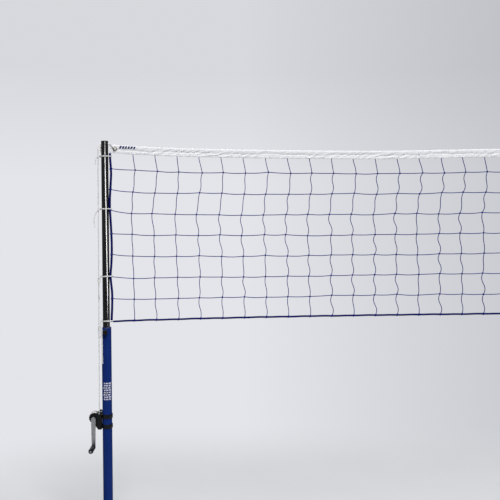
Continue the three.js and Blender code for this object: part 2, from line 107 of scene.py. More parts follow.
SIDE_ROUTE = [  # from the tube's axis, and height
    (30, 1282), (29, 1297), (32, 1365), (32.5, 1440), (25, 1532), (30, 1600), (33, 1680), (31.5, 1760),
    (28, 1835), (25, 1896), (25, 1945), (30.5, 2034), (33, 2090), (28, 2178), (28, 2194.5),
]
TAILS = {  # from the tube's axis and from the tie's height
    "top": [(-27.2, -6.6, -1.5), (-40, -10, -7), (-47, -12, -18), (-50, -12, -32), (-49, -11, -46)],
    "upper": [(-27.2, -6.6, -1.5), (-39, -11, -10), (-48, -14, -24), (-55, -15, -42), (-58, -14, -62),
              (-57, -12, -82), (-54, -11, -98)],
    "lower": [(-27.2, -6.6, -1.5), (-33, -10, -18), (-34, -12, -40), (-37, -12, -70), (-36, -11, -100),
              (-32, -11, -128)],
    "bottom": [(-24.5, -7.6, -1.5), (-23, -15, -9), (-20, -22, -22), (-19, -26, -45), (-18.5, -27, -85),
               (-18, -27, -135), (-18.5, -27, -185), (-17.5, -27.2, -215), (-17, -27.5, -232)],
}
SHEAVE = middle("sheave") + Vector((POST_X, 0, 0))
GROOVE_R, SHEAVE_R, SHEAVE_HALF = 19, 24, 5
LINE_RUN = 22
EYE_BOLT_Z, EYE_RING_Y = 2238, -31
KNOB_Z = 1231
SPOT_HOLES = (1401, 1446, 1761)
DRUM_X, DRUM_Z = -68, 758
CRANK_END_Z = DRUM_Z - 150
PAWL_PIVOT = (-40, 786)
PLATE_HIGH = 14
WEIGHT_X, STUD_Y = -330, 140
WHEEL_X, WHEEL_Z, WHEEL_Y = -612, 53, 258
FLOOR_REACH = 300  # metres


# ---- the camera, the floor and the light ----

def add_camera():
    data = bpy.data.cameras.new("Camera")
    data.lens, data.sensor_width = 50, 36
    camera = bpy.data.objects.new("Camera", data)
    bpy.context.scene.collection.objects.link(camera)
    camera.location = (-4.102, -3.775, 1.857)
    pitch, yaw = math.radians(2.8), math.radians(1.69)
    camera.rotation_euler = (math.pi / 2 - pitch, 0, -yaw)
    bpy.context.scene.camera = camera


def add_light(kind, name, place, aim, power, colour=(1, 1, 1), **settings):
    data = bpy.data.lights.new(name, kind)
    data.energy = power
    data.color = colour
    for key, value in settings.items():
        setattr(data, key, value)
    light = bpy.data.objects.new(name, data)
    light.location = place
    light.rotation_euler = (Vector(aim) - Vector(place)).to_track_quat("-Z", "Y").to_euler()
    light.visible_camera = False
    bpy.context.scene.collection.objects.link(light)
    return light


class Nodes:
    """A short way to write a material's or the world's nodes."""

    def __init__(self, tree, shader=None):
        self.tree, self.shader = tree, shader

    def make(self, kind, inputs=None, **settings):
        node = self.tree.nodes.new(kind)
        for key, value in settings.items():
            setattr(node, key, value)
        for key, value in (inputs or {}).items():
            self.feed(node.inputs[key], value)
        return node

    def feed(self, socket, value):
        if isinstance(value, bpy.types.NodeSocket):
            self.tree.links.new(value, socket)
        else:
            socket.default_value = value

    def colour(self, value):
        self.feed(self.shader.inputs["Base Color"], value)

    def rough(self, value):
        self.feed(self.shader.inputs["Roughness"], value)

    def normal(self, value):
        self.feed(self.shader.inputs["Normal"], value)

    def coordinates(self, which="Object"):
        if which == "Length":
            return self.make("ShaderNodeUVMap", uv_map="Length").outputs["UV"]
        return self.make("ShaderNodeTexCoord").outputs[which]

    def scaled(self, vector, factor):
        node = self.make("ShaderNodeVectorMath", {0: vector, 1: factor}, operation="MULTIPLY")
        return node.outputs[0]

    def parts(self, vector):
        return self.make("ShaderNodeSeparateXYZ", {0: vector}).outputs

    def noise(self, vector, scale, detail=3.0, roughness=0.5):
        inputs = {"Vector": vector, "Scale": scale, "Detail": detail, "Roughness": roughness}
        return self.make("ShaderNodeTexNoise", inputs).outputs["Fac"]

    def math(self, operation, *values, clamp=False):
        inputs = dict(enumerate(values))
        return self.make("ShaderNodeMath", inputs, operation=operation, use_clamp=clamp).outputs[0]

    def between(self, value, low, high, out_low=0.0, out_high=1.0):
        inputs = {"Value": value, "From Min": low, "From Max": high, "To Min": out_low, "To Max": out_high}
        return self.make("ShaderNodeMapRange", inputs).outputs["Result"]

    def mix(self, share, *colours):
        node = self.make("ShaderNodeMix", {"Factor": share}, data_type="RGBA")
        for socket, colour in zip(node.inputs[6:8], colours):
            self.feed(socket, (*colour, 1) if isinstance(colour, tuple) else colour)
        return node.outputs[2]

    def add(self, kind, **inputs):
        return self.make(f"ShaderNode{kind}", {key.replace("_", " "): value for key, value in inputs.items()})

    def camera_ray(self):
        return self.make("ShaderNodeLightPath").outputs["Is Camera Ray"]

    def either(self, share, first, second):
        inputs = {0: share, 1: first.outputs[0], 2: second.outputs[0]}
        return self.make("ShaderNodeMixShader", inputs).outputs[0]

    def bump(self, height, distance, strength=1.0, after=None):
        inputs = {"Height": height, "Distance": distance, "Strength": strength}
        if after is not None:
            inputs["Normal"] = after
        return self.make("ShaderNodeBump", inputs).outputs["Normal"]


BACKDROP_LEFT = (0.775, 0.782, 0.820)
BACKDROP_RIGHT = (0.580, 0.595, 0.628)
BACKDROP_TURN = (0.02, 0.40)  # where, as a direction's X, the backdrop changes from one to the other
BACKDROP_TOP = (0.05, 0.20, 0.88)  # the heights, as a direction's Z, that it darkens between, and how far
SHINY = bpy.data.collections.new("Shiny")  # the upper tubes, which alone show the strips' gloss
STRIP_TILT = math.radians(38)  # tall lights seen only as a line of gloss on each tube
STUDIO_POINT = (-4.1, -3.78, 1.5)  # the fixed point that the backdrop's two greys are laid out from


def backdrop_colour(n, direction):
    parts = n.parts(direction)
    colour = n.mix(n.between(parts["X"], *BACKDROP_TURN), BACKDROP_LEFT, BACKDROP_RIGHT)
    low, high, share = BACKDROP_TOP
    darker = n.between(parts["Z"], low, high, 0.0, 1 - share)
    return n.mix(darker, colour, (0, 0, 0))


def add_world():
    world = bpy.data.worlds.new("Studio")
    world.use_nodes = True
    world.node_tree.nodes.clear()
    n = Nodes(world.node_tree)
    seen = n.add("Background", Color=backdrop_colour(n, n.coordinates("Generated")), Strength=1.0)
    light = n.add("Background", Color=(0.93, 0.96, 1.0, 1), Strength=0.38)
    n.add("OutputWorld", Surface=n.either(n.camera_ray(), light, seen))
    bpy.context.scene.world = world


def floor_material():
    """Real floor round the object, which fades to the backdrop's greys away from it."""
    material = bpy.data.materials.new("floor")
    material.use_nodes = True
    material.node_tree.nodes.clear()
    n = Nodes(material.node_tree)
    place = n.coordinates()
    parts = n.parts(place)
    beyond_x = n.math("SUBTRACT", n.math("ABSOLUTE", parts["X"]), POST_X * MM)
    beyond = n.add("CombineXYZ", X=n.math("MAXIMUM", beyond_x, 0.0), Y=parts["Y"], Z=0.0)
    away = n.make("ShaderNodeVectorMath", {0: beyond.outputs[0]}, operation="LENGTH").outputs["Value"]
    fade = n.make("ShaderNodeMapRange", {"Value": away, "From Min": 0.9, "From Max": 2.4},
                  interpolation_type="SMOOTHSTEP").outputs[0]
    ray = n.make("ShaderNodeVectorMath", {0: place, 1: STUDIO_POINT}, operation="SUBTRACT").outputs[0]
    direction = n.make("ShaderNodeVectorMath", {0: ray}, operation="NORMALIZE").outputs[0]
    path = n.camera_ray()
    paint = n.mix(n.noise(place, 3.0), (0.60, 0.61, 0.62), (0.63, 0.635, 0.645))
    real = n.add("BsdfDiffuse", Color=paint)
    far = n.add("Emission", Color=backdrop_colour(n, direction), Strength=n.between(path, 0, 1, 0.35, 1.0))
    n.add("OutputMaterial", Surface=n.either(fade, real, far))
    return material


def add_floor():
    mesh = bpy.data.meshes.new("floor")
    corners = [(x * FLOOR_REACH, y * FLOOR_REACH, 0) for x, y in ((-1, -1), (1, -1), (1, 1), (-1, 1))]
    mesh.from_pydata(corners, [], [(0, 1, 2, 3)])
    mesh.materials.append(floor_material())
    floor = bpy.data.objects.new("floor", mesh)
    bpy.context.scene.collection.objects.link(floor)


def add_studio():
    add_camera()
    add_world()
    add_floor()
    add_light("SUN", "Key", (2, -6, 7), (0, 0, 0), 2.6, angle=math.radians(24))
    add_light("SUN", "Back", (-2, 6, 5), (0, 0, 0), 0.7, angle=math.radians(40))
    for side, out in FACING.items():
        aim = (-out * POST_X * MM, 0, 2.20)
        place = (aim[0] + out * 1.80, out * -2.31, 2.20)
        strip = add_light("AREA", f"Strip_{side}", place, aim, 430, shape="RECTANGLE", size=0.6, size_y=4.0)
        turned = strip.rotation_euler.to_quaternion() @ Quaternion((0, 0, 1), STRIP_TILT)
        strip.rotation_euler = turned.to_euler()
        strip.visible_diffuse = False
        strip.light_linking.receiver_collection = SHINY
    bpy.context.scene.view_settings.view_transform = "Standard"


# ---- geometry ----

def smooth_route(points, step):
    """A curve through the points, as a centripetal Catmull-Rom spline, with a point about every step."""
    p = np.array([tuple(q) for q in points], float)
    p = np.vstack([2 * p[0] - p[1], p, 2 * p[-1] - p[-2]])
    out = []
    for i in range(1, len(p) - 2):
        before, here, there, after = p[i - 1: i + 3]
        d0, d1, d2 = (max(np.linalg.norm(b - a), 1e-9) ** 0.5
                      for a, b in ((before, here), (here, there), (there, after)))
        t0 = ((here - before) / d0 - (there - before) / (d0 + d1) + (there - here) / d1) * d1
        t1 = ((there - here) / d1 - (after - here) / (d1 + d2) + (after - there) / d2) * d1
        count = max(2, int(np.linalg.norm(there - here) / step))
        t = np.linspace(0, 1, count, endpoint=False)[:, None]
        a = 2 * here - 2 * there + t0 + t1
        b = -3 * here + 3 * there - 2 * t0 - t1
        out.append(((a * t + b) * t + t0) * t + here)
    return np.vstack([*out, p[-2]])


def arc(x, y, radius, start, end, count):
    """Points on a circle's arc, with its angles in degrees."""
    return [(x + radius * math.cos(a), y + radius * math.sin(a))
            for a in np.radians(np.linspace(start, end, count))]


def ring_vectors(path, closed):
    """Two unit vectors across the path at each of its points, which turn with it and never twist."""
    ahead = np.roll(path, -1, 0) - np.roll(path, 1, 0)
    if not closed:
        ahead[0], ahead[-1] = path[1] - path[0], path[-1] - path[-2]
    ahead /= np.linalg.norm(ahead, axis=1)[:, None]
    across = np.zeros_like(path)
    v = np.array((0, 0, 1.0) if abs(ahead[0][2]) < 0.9 else (0, 1.0, 0))
    for i, t in enumerate(ahead):
        v = v - t * (v @ t)
        v = v / np.linalg.norm(v)
        across[i] = v
    if closed:  # spreads what is left over along the whole ring
        last = across[-1] - ahead[0] * (across[-1] @ ahead[0])
        angle = math.atan2(np.cross(last, across[0]) @ ahead[0], last @ across[0])
        turn = np.linspace(0, angle, len(path))[:, None]
        across = across * np.cos(turn) + np.cross(ahead, across) * np.sin(turn)
    return across, np.cross(ahead, across)


def to_whole(points, side):
    """Points of a post's own frame, in the whole object's."""
    out = FACING[side]
    return points * (out, out, 1) - (out * POST_X, 0, 0)


class Shape:
    """The vertices, faces and length coordinates of one piece, gathered from simple bodies."""

    def __init__(self):
        self.points, self.corners, self.sizes, self.uvs, self.looks = [], [], [], [], []
        self.count = 0

    def add(self, points, faces, uvs=None, look=0):
        points = np.asarray(points, float)
        faces = np.asarray(faces, int)
        self.points.append(points)
        self.corners.append((faces + self.count).ravel())
        self.sizes.append(np.full(len(faces), faces.shape[1]))
        self.uvs.append(np.zeros((faces.size, 2)) if uvs is None else np.asarray(uvs, float).reshape(-1, 2))
        self.looks.append(np.full(len(faces), look))
        self.count += len(points)

    def face(self, points, look=0):
        self.add(points, [list(range(len(points)))], look=look)

    def grid(self, points, u, v, wrap_u=False, wrap_v=False, look=0):
        """points is rows by columns. u and v are their length coordinates, one longer where it wraps."""
        rows, columns = points.shape[:2]
        i, j = np.meshgrid(np.arange(rows - (not wrap_u)), np.arange(columns - (not wrap_v)), indexing="ij")
        i, j = i.ravel(), j.ravel()
        i2, j2 = (i + 1) % rows, (j + 1) % columns
        faces = np.stack([i * columns + j, i2 * columns + j, i2 * columns + j2, i * columns + j2], 1)
        around = ((i, j), (i + 1, j), (i + 1, j + 1), (i, j + 1))
        uvs = np.stack([np.stack([u[a], v[b]], 1) for a, b in around], 1)
        self.add(points.reshape(-1, 3), faces, uvs, look)

    def tube(self, path, radius, sides=10, closed=False, lay=0, strands=3, relief=0.0, look=0):
        """A round tube. With a lay, its strands wind round it once in that length and stand out by relief."""
        path = np.asarray(path, float)
        across, up = ring_vectors(path, closed)
        steps = np.linalg.norm(np.diff(np.vstack([path, path[:1]]), axis=0), axis=1)
        along = np.concatenate([[0], np.cumsum(steps)])
        angle = 2 * np.pi * np.arange(sides) / sides
        r = np.broadcast_to(np.asarray(radius, float).reshape(-1, 1), (len(path), sides)).copy()
        if lay:
            phase = strands * (angle[None, :] - 2 * np.pi * along[:len(path), None] / lay)
            r *= 1 + relief * (np.abs(np.sin(phase / 2)) * 2 - 1)
        ring = across[:, None] * np.cos(angle)[None, :, None] + up[:, None] * np.sin(angle)[None, :, None]
        points = path[:, None] + ring * r[:, :, None]
        u = MM * (along if closed else along[:len(path)])
        self.grid(points, u, np.arange(sides + 1) / sides, closed, True, look)
        if not closed:
            for end, order in ((0, 1), (-1, -1)):
                self.face(points[end][::order], look)

    def turned(self, profile, at=(0, 0, 0), along="z", segments=64, look=0):
        """A body turned round Z, or round Y with its height towards -Y, from [radius, height] points."""
        angle = 2 * np.pi * np.arange(segments) / segments
        rings = []
        for r, h in profile:
            flat = np.stack([r * np.cos(angle), r * np.sin(angle), np.full(segments, h)], 1)
            if along == "y":
                flat = np.stack([flat[:, 0], -flat[:, 2], flat[:, 1]], 1)
            elif along == "x":
                flat = np.stack([flat[:, 2], flat[:, 1], -flat[:, 0]], 1)
            rings.append(flat + np.array(tuple(at), float))
        share = np.arange(segments + 1) / segments
        if np.allclose(profile[0], profile[-1]):
            length = np.linalg.norm(np.diff(np.array(profile), axis=0), axis=1).cumsum()
            self.grid(np.stack(rings[:-1]), MM * np.concatenate([[0], length]), share, True, True, look)
            return
        first, last = int(profile[0][0] < 1e-9), len(rings) - int(profile[-1][0] < 1e-9)
        body = np.stack(rings[first:last])
        if len(body) > 1:
            self.grid(body, np.arange(len(body) + 1) * MM, share, False, True, look)
        i = np.arange(segments)
        for end, pointed in ((0, first), (-1, last < len(rings))):
            ring, tip = body[end], rings[end][0]
            if pointed and np.linalg.norm(tip - ring.mean(0)) > 1e-4:
                faces = np.stack([i, (i + 1) % segments, np.full(segments, segments)], 1)
                self.add(np.vstack([ring, tip]), faces, look=look)
            else:
                self.face(ring, look)

    def prism(self, outline, low, high, across="y", look=0):
        """An outline in the plane across an axis, from low to high along that axis."""
        flat, axis = np.array(outline, float), "xyz".index(across)
        a, b = (np.insert(flat, axis, place, axis=1) for place in (low, high))
        count = len(flat)
        i = np.arange(count)
        j = (i + 1) % count
        self.add(np.vstack([a, b]), np.stack([i, j, j + count, i + count], 1), look=look)
        self.face(a[::-1], look)
        self.face(b, look)

    def block(self, x0, x1, y0, y1, z0, z1, look=0):
        self.prism([(x0, y0), (x1, y0), (x1, y1), (x0, y1)], z0, z1, "z", look)

    def build(self, name, look, side=None, bevel=0, outward=True, sharp=35):
        """The object, moved from its post's frame to the whole object's where a side is named.

        look is a material's name, or a list of names.
        """
        points = np.concatenate(self.points)
        if side:
            points = to_whole(points, side)
        sizes = np.concatenate(self.sizes)
        corners = np.concatenate(self.corners)
        mesh = bpy.data.meshes.new(name)
        mesh.vertices.add(len(points))
        mesh.vertices.foreach_set("co", (points * MM).astype(np.float32).ravel())
        mesh.loops.add(len(corners))
        mesh.loops.foreach_set("vertex_index", corners.astype(np.int32))
        mesh.polygons.add(len(sizes))
        starts = np.concatenate([[0], np.cumsum(sizes)[:-1]])
        mesh.polygons.foreach_set("loop_start", starts.astype(np.int32))
        mesh.polygons.foreach_set("material_index", np.concatenate(self.looks).astype(np.int32))
        layer = mesh.uv_layers.new(name="Length")
        layer.data.foreach_set("uv", np.concatenate(self.uvs).astype(np.float32).ravel())
        mesh.update(calc_edges=True)
        if outward:
            work = bmesh.new()
            work.from_mesh(mesh)
            bmesh.ops.remove_doubles(work, verts=work.verts, dist=1e-6)
            bmesh.ops.recalc_face_normals(work, faces=work.faces)
            work.to_mesh(mesh)
            work.free()
        mesh.shade_smooth()
        mesh.set_sharp_from_angle(angle=math.radians(sharp))
        for one in [look] if isinstance(look, str) else look:
            mesh.materials.append(looks[one])
        made = bpy.data.objects.new(name, mesh)
        bpy.context.scene.collection.objects.link(made)
        if bevel:
            add_bevel(made, bevel)
        return made


def add_bevel(piece, width):
    modifier = piece.modifiers.new("Edges", "BEVEL")
    modifier.width = width * MM
    modifier.segments = 3
    modifier.limit_method = "ANGLE"
    modifier.angle_limit = math.radians(40)
    modifier.harden_normals = True
    modifier.use_clamp_overlap = True


def apply_modifiers(piece):
    graph = bpy.context.evaluated_depsgraph_get()
    mesh = bpy.data.meshes.new_from_object(piece.evaluated_get(graph), preserve_all_data_layers=True,
                                           depsgraph=graph)
    piece.modifiers.clear()
    piece.data = mesh


def cut_out(piece, cutter):
    """Takes the cutter's solid out of the piece."""
    modifier = piece.modifiers.new("Cut", "BOOLEAN")
    modifier.operation, modifier.object, modifier.solver = "DIFFERENCE", cutter, "EXACT"
    apply_modifiers(piece)
    bpy.data.objects.remove(cutter)
    piece.data.set_sharp_from_angle(angle=math.radians(35))


def thicken(piece, thickness, offset):
    modifier = piece.modifiers.new("Thickness", "SOLIDIFY")
    modifier.thickness, modifier.offset = thickness * MM, offset
    apply_modifiers(piece)


def settle(piece, body, slot, *nodes):
    """Puts the piece under its body's empty, and hides the imported nodes that it stands for, if any. The slot is
    not used.
    """
    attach(piece, body)
    if nodes:
        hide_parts(*nodes)
    return piece


def rounded(r0, z0, r1, z1, edge):
    """A closed ring profile with its four edges eased."""
    ease = 0.3 * edge
    low = [(r0, z0 + edge), (r0 + edge, z0), (r1 - edge, z0), (r1 - ease, z0 + ease), (r1, z0 + edge)]
    high = [(r1, z1 - edge), (r1 - ease, z1 - ease), (r1 - edge, z1), (r0 + edge, z1), (r0, z1 - edge)]
    return [*low, *high, low[0]]


def plain(radius, low, high):
    """A solid round profile with square ends."""
    return [(0, low), (radius, low), (radius, high), (0, high)]


def rod(radius, low, high, ease=0.6):
    """A solid round profile whose low end is eased."""
    return [(0, low), (radius - ease, low), (radius, low + ease), (radius, high), (0, high)]


# ---- materials ----

looks = {}


def start_material(name, roughness, metallic=0.0, **constants):
    material = bpy.data.materials.new(name)
    material.use_nodes = True
    shader = material.node_tree.nodes["Principled BSDF"]
    shader.inputs["Roughness"].default_value = roughness
    shader.inputs["Metallic"].default_value = metallic
    for key, value in constants.items():
        shader.inputs[key.replace("_", " ")].default_value = value
    looks[name] = material
    return Nodes(material.node_tree, shader)


def painted(name, colour, worn, roughness, coat=0.0, grain=0.15, spots=0.04, **constants):
    """Sprayed paint: a faint orange peel, uneven gloss, dust and a few rubbed places."""
    n = start_material(name, roughness, Coat_Weight=coat, Coat_Roughness=0.12, **constants)
    place = n.coordinates()
    cloud = n.noise(place, 9.0, 5.0, 0.6)
    rub = n.noise(n.scaled(place, (140, 140, 22)), 1.0, 6.0, 0.7)
    rubbed = n.between(rub, 0.66, 0.80, 0.0, spots * 8)
    tone = n.mix(n.between(cloud, 0.35, 0.7), colour, tuple(c * 1.18 + 0.0006 for c in colour))
    n.colour(n.mix(rubbed, tone, worn))
    uneven = n.between(cloud, 0.2, 0.8, roughness - 0.05, roughness + 0.06)
    n.rough(n.math("ADD", uneven, n.math("MULTIPLY", rubbed, 0.25)))
    peel = n.noise(place, 420.0, 2.0, 0.4)
    n.normal(n.bump(peel, 0.0003, grain))


def cord_material(name, colour, strand_shade_and_dirt, lay, around, braided, roughness=0.75, depth=0.0004, gloss=0.2):
    """A twisted or braided cord: its strands' slant from the length coordinates, fine fibres, dirt, and painted
    shade in the grooves between strands.
    """
    n = start_material(name, roughness, Specular_IOR_Level=gloss)
    parts = n.parts(n.coordinates("Length"))
    turn = n.math("MULTIPLY", parts["X"], 2 * math.pi / lay)
    round_it = n.math("MULTIPLY", parts["Y"], 2 * math.pi * around)
    first = n.math("SINE", n.math("SUBTRACT", round_it, turn))
    strands = n.math("ABSOLUTE", first)
    if braided:
        second = n.math("SINE", n.math("ADD", round_it, turn))
        strands = n.math("ABSOLUTE", n.math("MULTIPLY", first, second))
    fibres = n.noise(n.coordinates(), 1500.0, 2.0, 0.6)
    dirt = n.noise(n.coordinates(), 14.0, 4.0, 0.6)
    relief = n.math("ADD", strands, n.math("MULTIPLY", fibres, 0.35))
    # painted shade: the grooves between the strands take the darker colour
    tone = n.mix(n.between(strands, 0.0, 0.6), strand_shade_and_dirt, colour)
    # dirt darkens the cord towards the same colour as the painted shade
    n.colour(n.mix(n.between(dirt, 0.45, 0.8, 0.0, 0.3), tone, strand_shade_and_dirt))
    n.normal(n.bump(relief, depth, 0.6))


def metal(name, colour, dark, roughness, stretch=(60, 60, 900), spots=0.5):
    """Plated steel or brass: fine drawn lines and dull spots."""
    n = start_material(name, roughness, 1.0)
    place = n.coordinates()
    lines = n.noise(n.scaled(place, stretch), 1.0, 3.0, 0.6)
    spot = n.between(n.noise(place, 60.0, 6.0, 0.65), 0.5, 0.75, 0.0, spots)
    n.colour(n.mix(spot, colour, dark))
    rough = n.between(lines, 0.2, 0.8, roughness - 0.06, roughness + 0.10)
    n.rough(n.math("ADD", rough, n.math("MULTIPLY", spot, 0.25)))
    n.normal(n.bump(lines, 0.0001, 0.25))


def moulded(name, colour, roughness, grain_scale=900.0, grain=0.0002, mottle=0.15, gloss=0.5):
    """Moulded plastic or rubber with a fine grain."""
    n = start_material(name, roughness, Specular_IOR_Level=gloss)
    place = n.coordinates()
    cloud = n.noise(place, 30.0, 4.0, 0.6)
    lighter = tuple(c * (1 + mottle) + 0.01 * mottle for c in colour)
    n.colour(n.mix(n.between(cloud, 0.3, 0.7), colour, lighter))
    n.rough(n.between(cloud, 0.2, 0.8, roughness - 0.06, roughness + 0.08))
    n.normal(n.bump(n.noise(place, grain_scale, 2.0, 0.5), grain, 0.5))


def cast_iron():
    n = start_material("iron", 0.62, 0.0)
    place = n.coordinates()
    lumps = n.noise(place, 120.0, 6.0, 0.65)
    pits = n.make("ShaderNodeTexVoronoi", {"Vector": place, "Scale": 260.0}).outputs["Distance"]
    rust = n.between(n.noise(place, 7.0, 7.0, 0.7), 0.62, 0.74, 0.0, 0.5)
    n.colour(n.mix(rust, (0.016, 0.017, 0.019), (0.060, 0.032, 0.020)))
    n.rough(n.between(lumps, 0.3, 0.7, 0.5, 0.75))
    height = n.math("ADD", lumps, n.math("MULTIPLY", pits, 0.5))
    n.normal(n.bump(height, 0.0012, 0.7))


def tread_rubber():
    """Tyre rubber, with dust in its grain."""
    n = start_material("tyre", 0.82)
    place = n.coordinates()
    dust = n.between(n.noise(place, 25.0, 6.0, 0.7), 0.45, 0.75, 0.0, 0.5)
    n.colour(n.mix(dust, (0.012, 0.012, 0.013), (0.06, 0.056, 0.05)))
    n.normal(n.bump(n.noise(place, 700.0, 3.0, 0.6), 0.0004, 0.6))


WEAVE_PITCH = 0.0014  # metres, as are the length coordinates
BAR_PITCH, BAR_SHARE = 0.0148, 0.68
PRINT_LENGTH, PRINT_HEIGHT = (0.0585, 0.1465), (0.006, 0.020)


def band_cloth():
    """Coated white cloth with a fine weave. Slanted navy bars are printed on it beside each post."""
    n = start_material("band_cloth", 0.5, Specular_IOR_Level=0.25)
    parts = n.parts(n.coordinates("Length"))
    threads = [n.math("SINE", n.math("MULTIPLY", parts[axis], 2 * math.pi / WEAVE_PITCH)) for axis in "XY"]
    weave = n.math("MULTIPLY", *threads)
    place = n.coordinates()
    soil = n.between(n.noise(place, 6.0, 6.0, 0.65), 0.5, 0.8, 0.0, 0.35)
    cloth = n.mix(soil, (0.875, 0.88, 0.895), (0.75, 0.755, 0.765))
    slant = n.math("ADD", parts["X"], n.math("MULTIPLY", parts["Y"], 0.45))
    printed = n.math("LESS_THAN", n.math("FRACT", n.math("DIVIDE", slant, BAR_PITCH)), BAR_SHARE)
    for value, low, high in ((slant, *PRINT_LENGTH), (parts["Y"], *PRINT_HEIGHT)):
        inside = n.math("MULTIPLY", n.math("GREATER_THAN", value, low), n.math("LESS_THAN", value, high))
        printed = n.math("MULTIPLY", printed, inside)
    n.colour(n.mix(printed, cloth, (0.012, 0.022, 0.12)))
    n.rough(n.between(n.noise(place, 40.0, 3.0), 0.3, 0.7, 0.5, 0.65))
    crumple = n.noise(n.scaled(place, (1, 1, 0.6)), 55.0, 4.0, 0.55)
    fine = n.bump(weave, 0.00012, 0.5)
    n.normal(n.bump(crumple, 0.0030, 0.35, fine))


def add_materials():
    painted("blue_tube", (0.0050, 0.020, 0.125), (0.02, 0.045, 0.17), 0.42, Specular_IOR_Level=0.035)
    painted("black_tube", (0.0028, 0.0029, 0.0036), (0.05, 0.05, 0.052), 0.17, grain=0.025,
            Specular_IOR_Level=0.42)
    painted("black_paint", (0.005, 0.005, 0.0055), (0.05, 0.048, 0.046), 0.32, grain=0.4, spots=0.06,
            Specular_IOR_Level=0.2)
    moulded("blue_plastic", (0.004, 0.015, 0.095), 0.45)
    moulded("black_plastic", (0.006, 0.006, 0.0065), 0.34, gloss=0.18)
    moulded("nylon", (0.86, 0.86, 0.84), 0.45, 500.0, 0.00015, 0.05)
    metal("dark_steel", (0.045, 0.045, 0.048), (0.02, 0.02, 0.02), 0.42)
    metal("steel", (0.56, 0.57, 0.58), (0.22, 0.21, 0.20), 0.28)
    metal("brass", (0.32, 0.29, 0.19), (0.10, 0.09, 0.06), 0.36, (200, 200, 200), 0.8)
    cast_iron()
    moulded("rubber", (0.010, 0.010, 0.011), 0.85, 400.0, 0.0005, 0.4)
    tread_rubber()
    band_cloth()
    # each cord's second colour is the painted shade in the grooves between its strands, and also its dirt colour
    cord_material("net_string", (0.009, 0.019, 0.23), (0.0025, 0.005, 0.08), 0.007, 1, False, 0.6,
                  gloss=0.08)
    cord_material("navy_rope", (0.003, 0.008, 0.14), (0.001, 0.002, 0.045), 0.010, 3, True, 0.65,
                  gloss=0.05)
    cord_material("white_rope", (0.90, 0.90, 0.89), (0.60, 0.595, 0.58), 0.006, 4, True, depth=0.0007)
    moulded("print", (0.48, 0.48, 0.58), 0.5)
    moulded("hub", (0.55, 0.56, 0.58), 0.4)
    metal("zinc", (0.42, 0.43, 0.42), (0.16, 0.15, 0.13), 0.34, (300, 300, 300), 0.6)


# ---- the net ----

def away_from_post(x):
    return np.maximum(0, HALF_NET - np.abs(x))


def head_height(x):
    """The band sags beside each post, and less between the two sags."""
    away = away_from_post(x)
    rise = np.clip((away - 1350) / 900, 0, 1)
    return NET_TOP - 31 * (1 - np.exp(-away / 420)) + 15 * rise * rise * (3 - 2 * rise)


def foot_height(x):
    return NET_BOTTOM + 40 * (1 - np.exp(-away_from_post(x) / 1200))


def side_route():
    """The side rope's line in the post's frame, pulled towards the tube at each tie."""
    return smooth_route([(x, 0, z) for x, z in SIDE_ROUTE], 4)


def knot_places():
    """Where the strings cross, as [column, row]. Row 0 is inside the band, the last one on the bottom rope."""
    row = np.arange(ROWS + 1)
    x = np.repeat((-HALF_NET + CELL * np.arange(COLUMNS + 1))[:, None], ROWS + 1, 1)
    top, bottom = head_height(x) - 12, foot_height(x)
    z = top + (bottom - top) * row / ROWS
    drift = np.array([9, 9, -3, -19, -12, -8, -5, -3, 0])
    away = away_from_post(x)
    x = x + drift * (1 - np.exp(-away / 100)) - 16 * (row == 0) * (1 - np.exp(-away / 220))
    spread = random.normal(0, 1, (3, *x.shape))
    spread[:, [0, -1]] = 0
    spread[:, :, [0, -1]] = 0
    x, y, z = x + 2.6 * spread[0], 1.5 * spread[2], z + 2.0 * spread[1]
    side = side_route()
    lift = np.array([0, 1, 8, 15, 5, 11, 8, 6, 0])  # each row hangs down a little from the side rope
    z[0], z[-1] = z[0] + lift, z[-1] + lift
    at = np.interp(z[0], side[:, 2], side[:, 0])
    x[0], x[-1] = -POST_X + at, POST_X - at
    return np.stack([x, y, z], 2)


def upright_string(knots, column):
    """One slack upright string: it leaves each knot to the left and comes back to the right."""
    parts = []
    slack = 1.8 + 4.6 * min(1, away_from_post(knots[column, 0, 0]) / 1600)
    for row in range(ROWS):
        a, b = knots[column, row], knots[column, row + 1]
        t = np.linspace(0, 1, 10, endpoint=False)[:, None]
        line = a + (b - a) * t
        if row == 0:
            line[:, 0] = a[0] + (b[0] - a[0]) * t[:, 0] ** 2.6
        bow = slack * (0.35 + 1.1 * random.random())
        line[:, 0] -= bow * np.sin(2 * np.pi * t[:, 0]) * (0.5 if row == 0 else 1)
        line[:, 1] += random.normal(0, 1.6) * np.sin(np.pi * t[:, 0])
        parts.append(line)
    return np.vstack([*parts, knots[column, ROWS][None]])


def level_string(knots, row):
    """One string along the net, hanging a little between its knots."""
    parts = []
    for column in range(COLUMNS):
        a, b = knots[column, row], knots[column + 1, row]
        t = np.linspace(0, 1, 6, endpoint=False)[:, None]
        line = a + (b - a) * t
        sag = random.uniform(0.5, 3.6)
        line[:, 2] -= sag * np.sin(np.pi * t[:, 0])
        line[:, 1] += random.normal(0, 1.2) * np.sin(np.pi * t[:, 0])
        parts.append(line)
    return np.vstack([*parts, knots[COLUMNS, row][None]])


def loop(centre, first, second, radius, count=10):
    """A ring of points round the centre, in the plane of two directions."""
    angle = 2 * np.pi * np.arange(count) / count
    first, second = np.array(first, float), np.array(second, float)
    first /= np.linalg.norm(first)
    second /= np.linalg.norm(second)
    return np.array(tuple(centre)) + radius * (np.cos(angle)[:, None] * first + np.sin(angle)[:, None] * second)


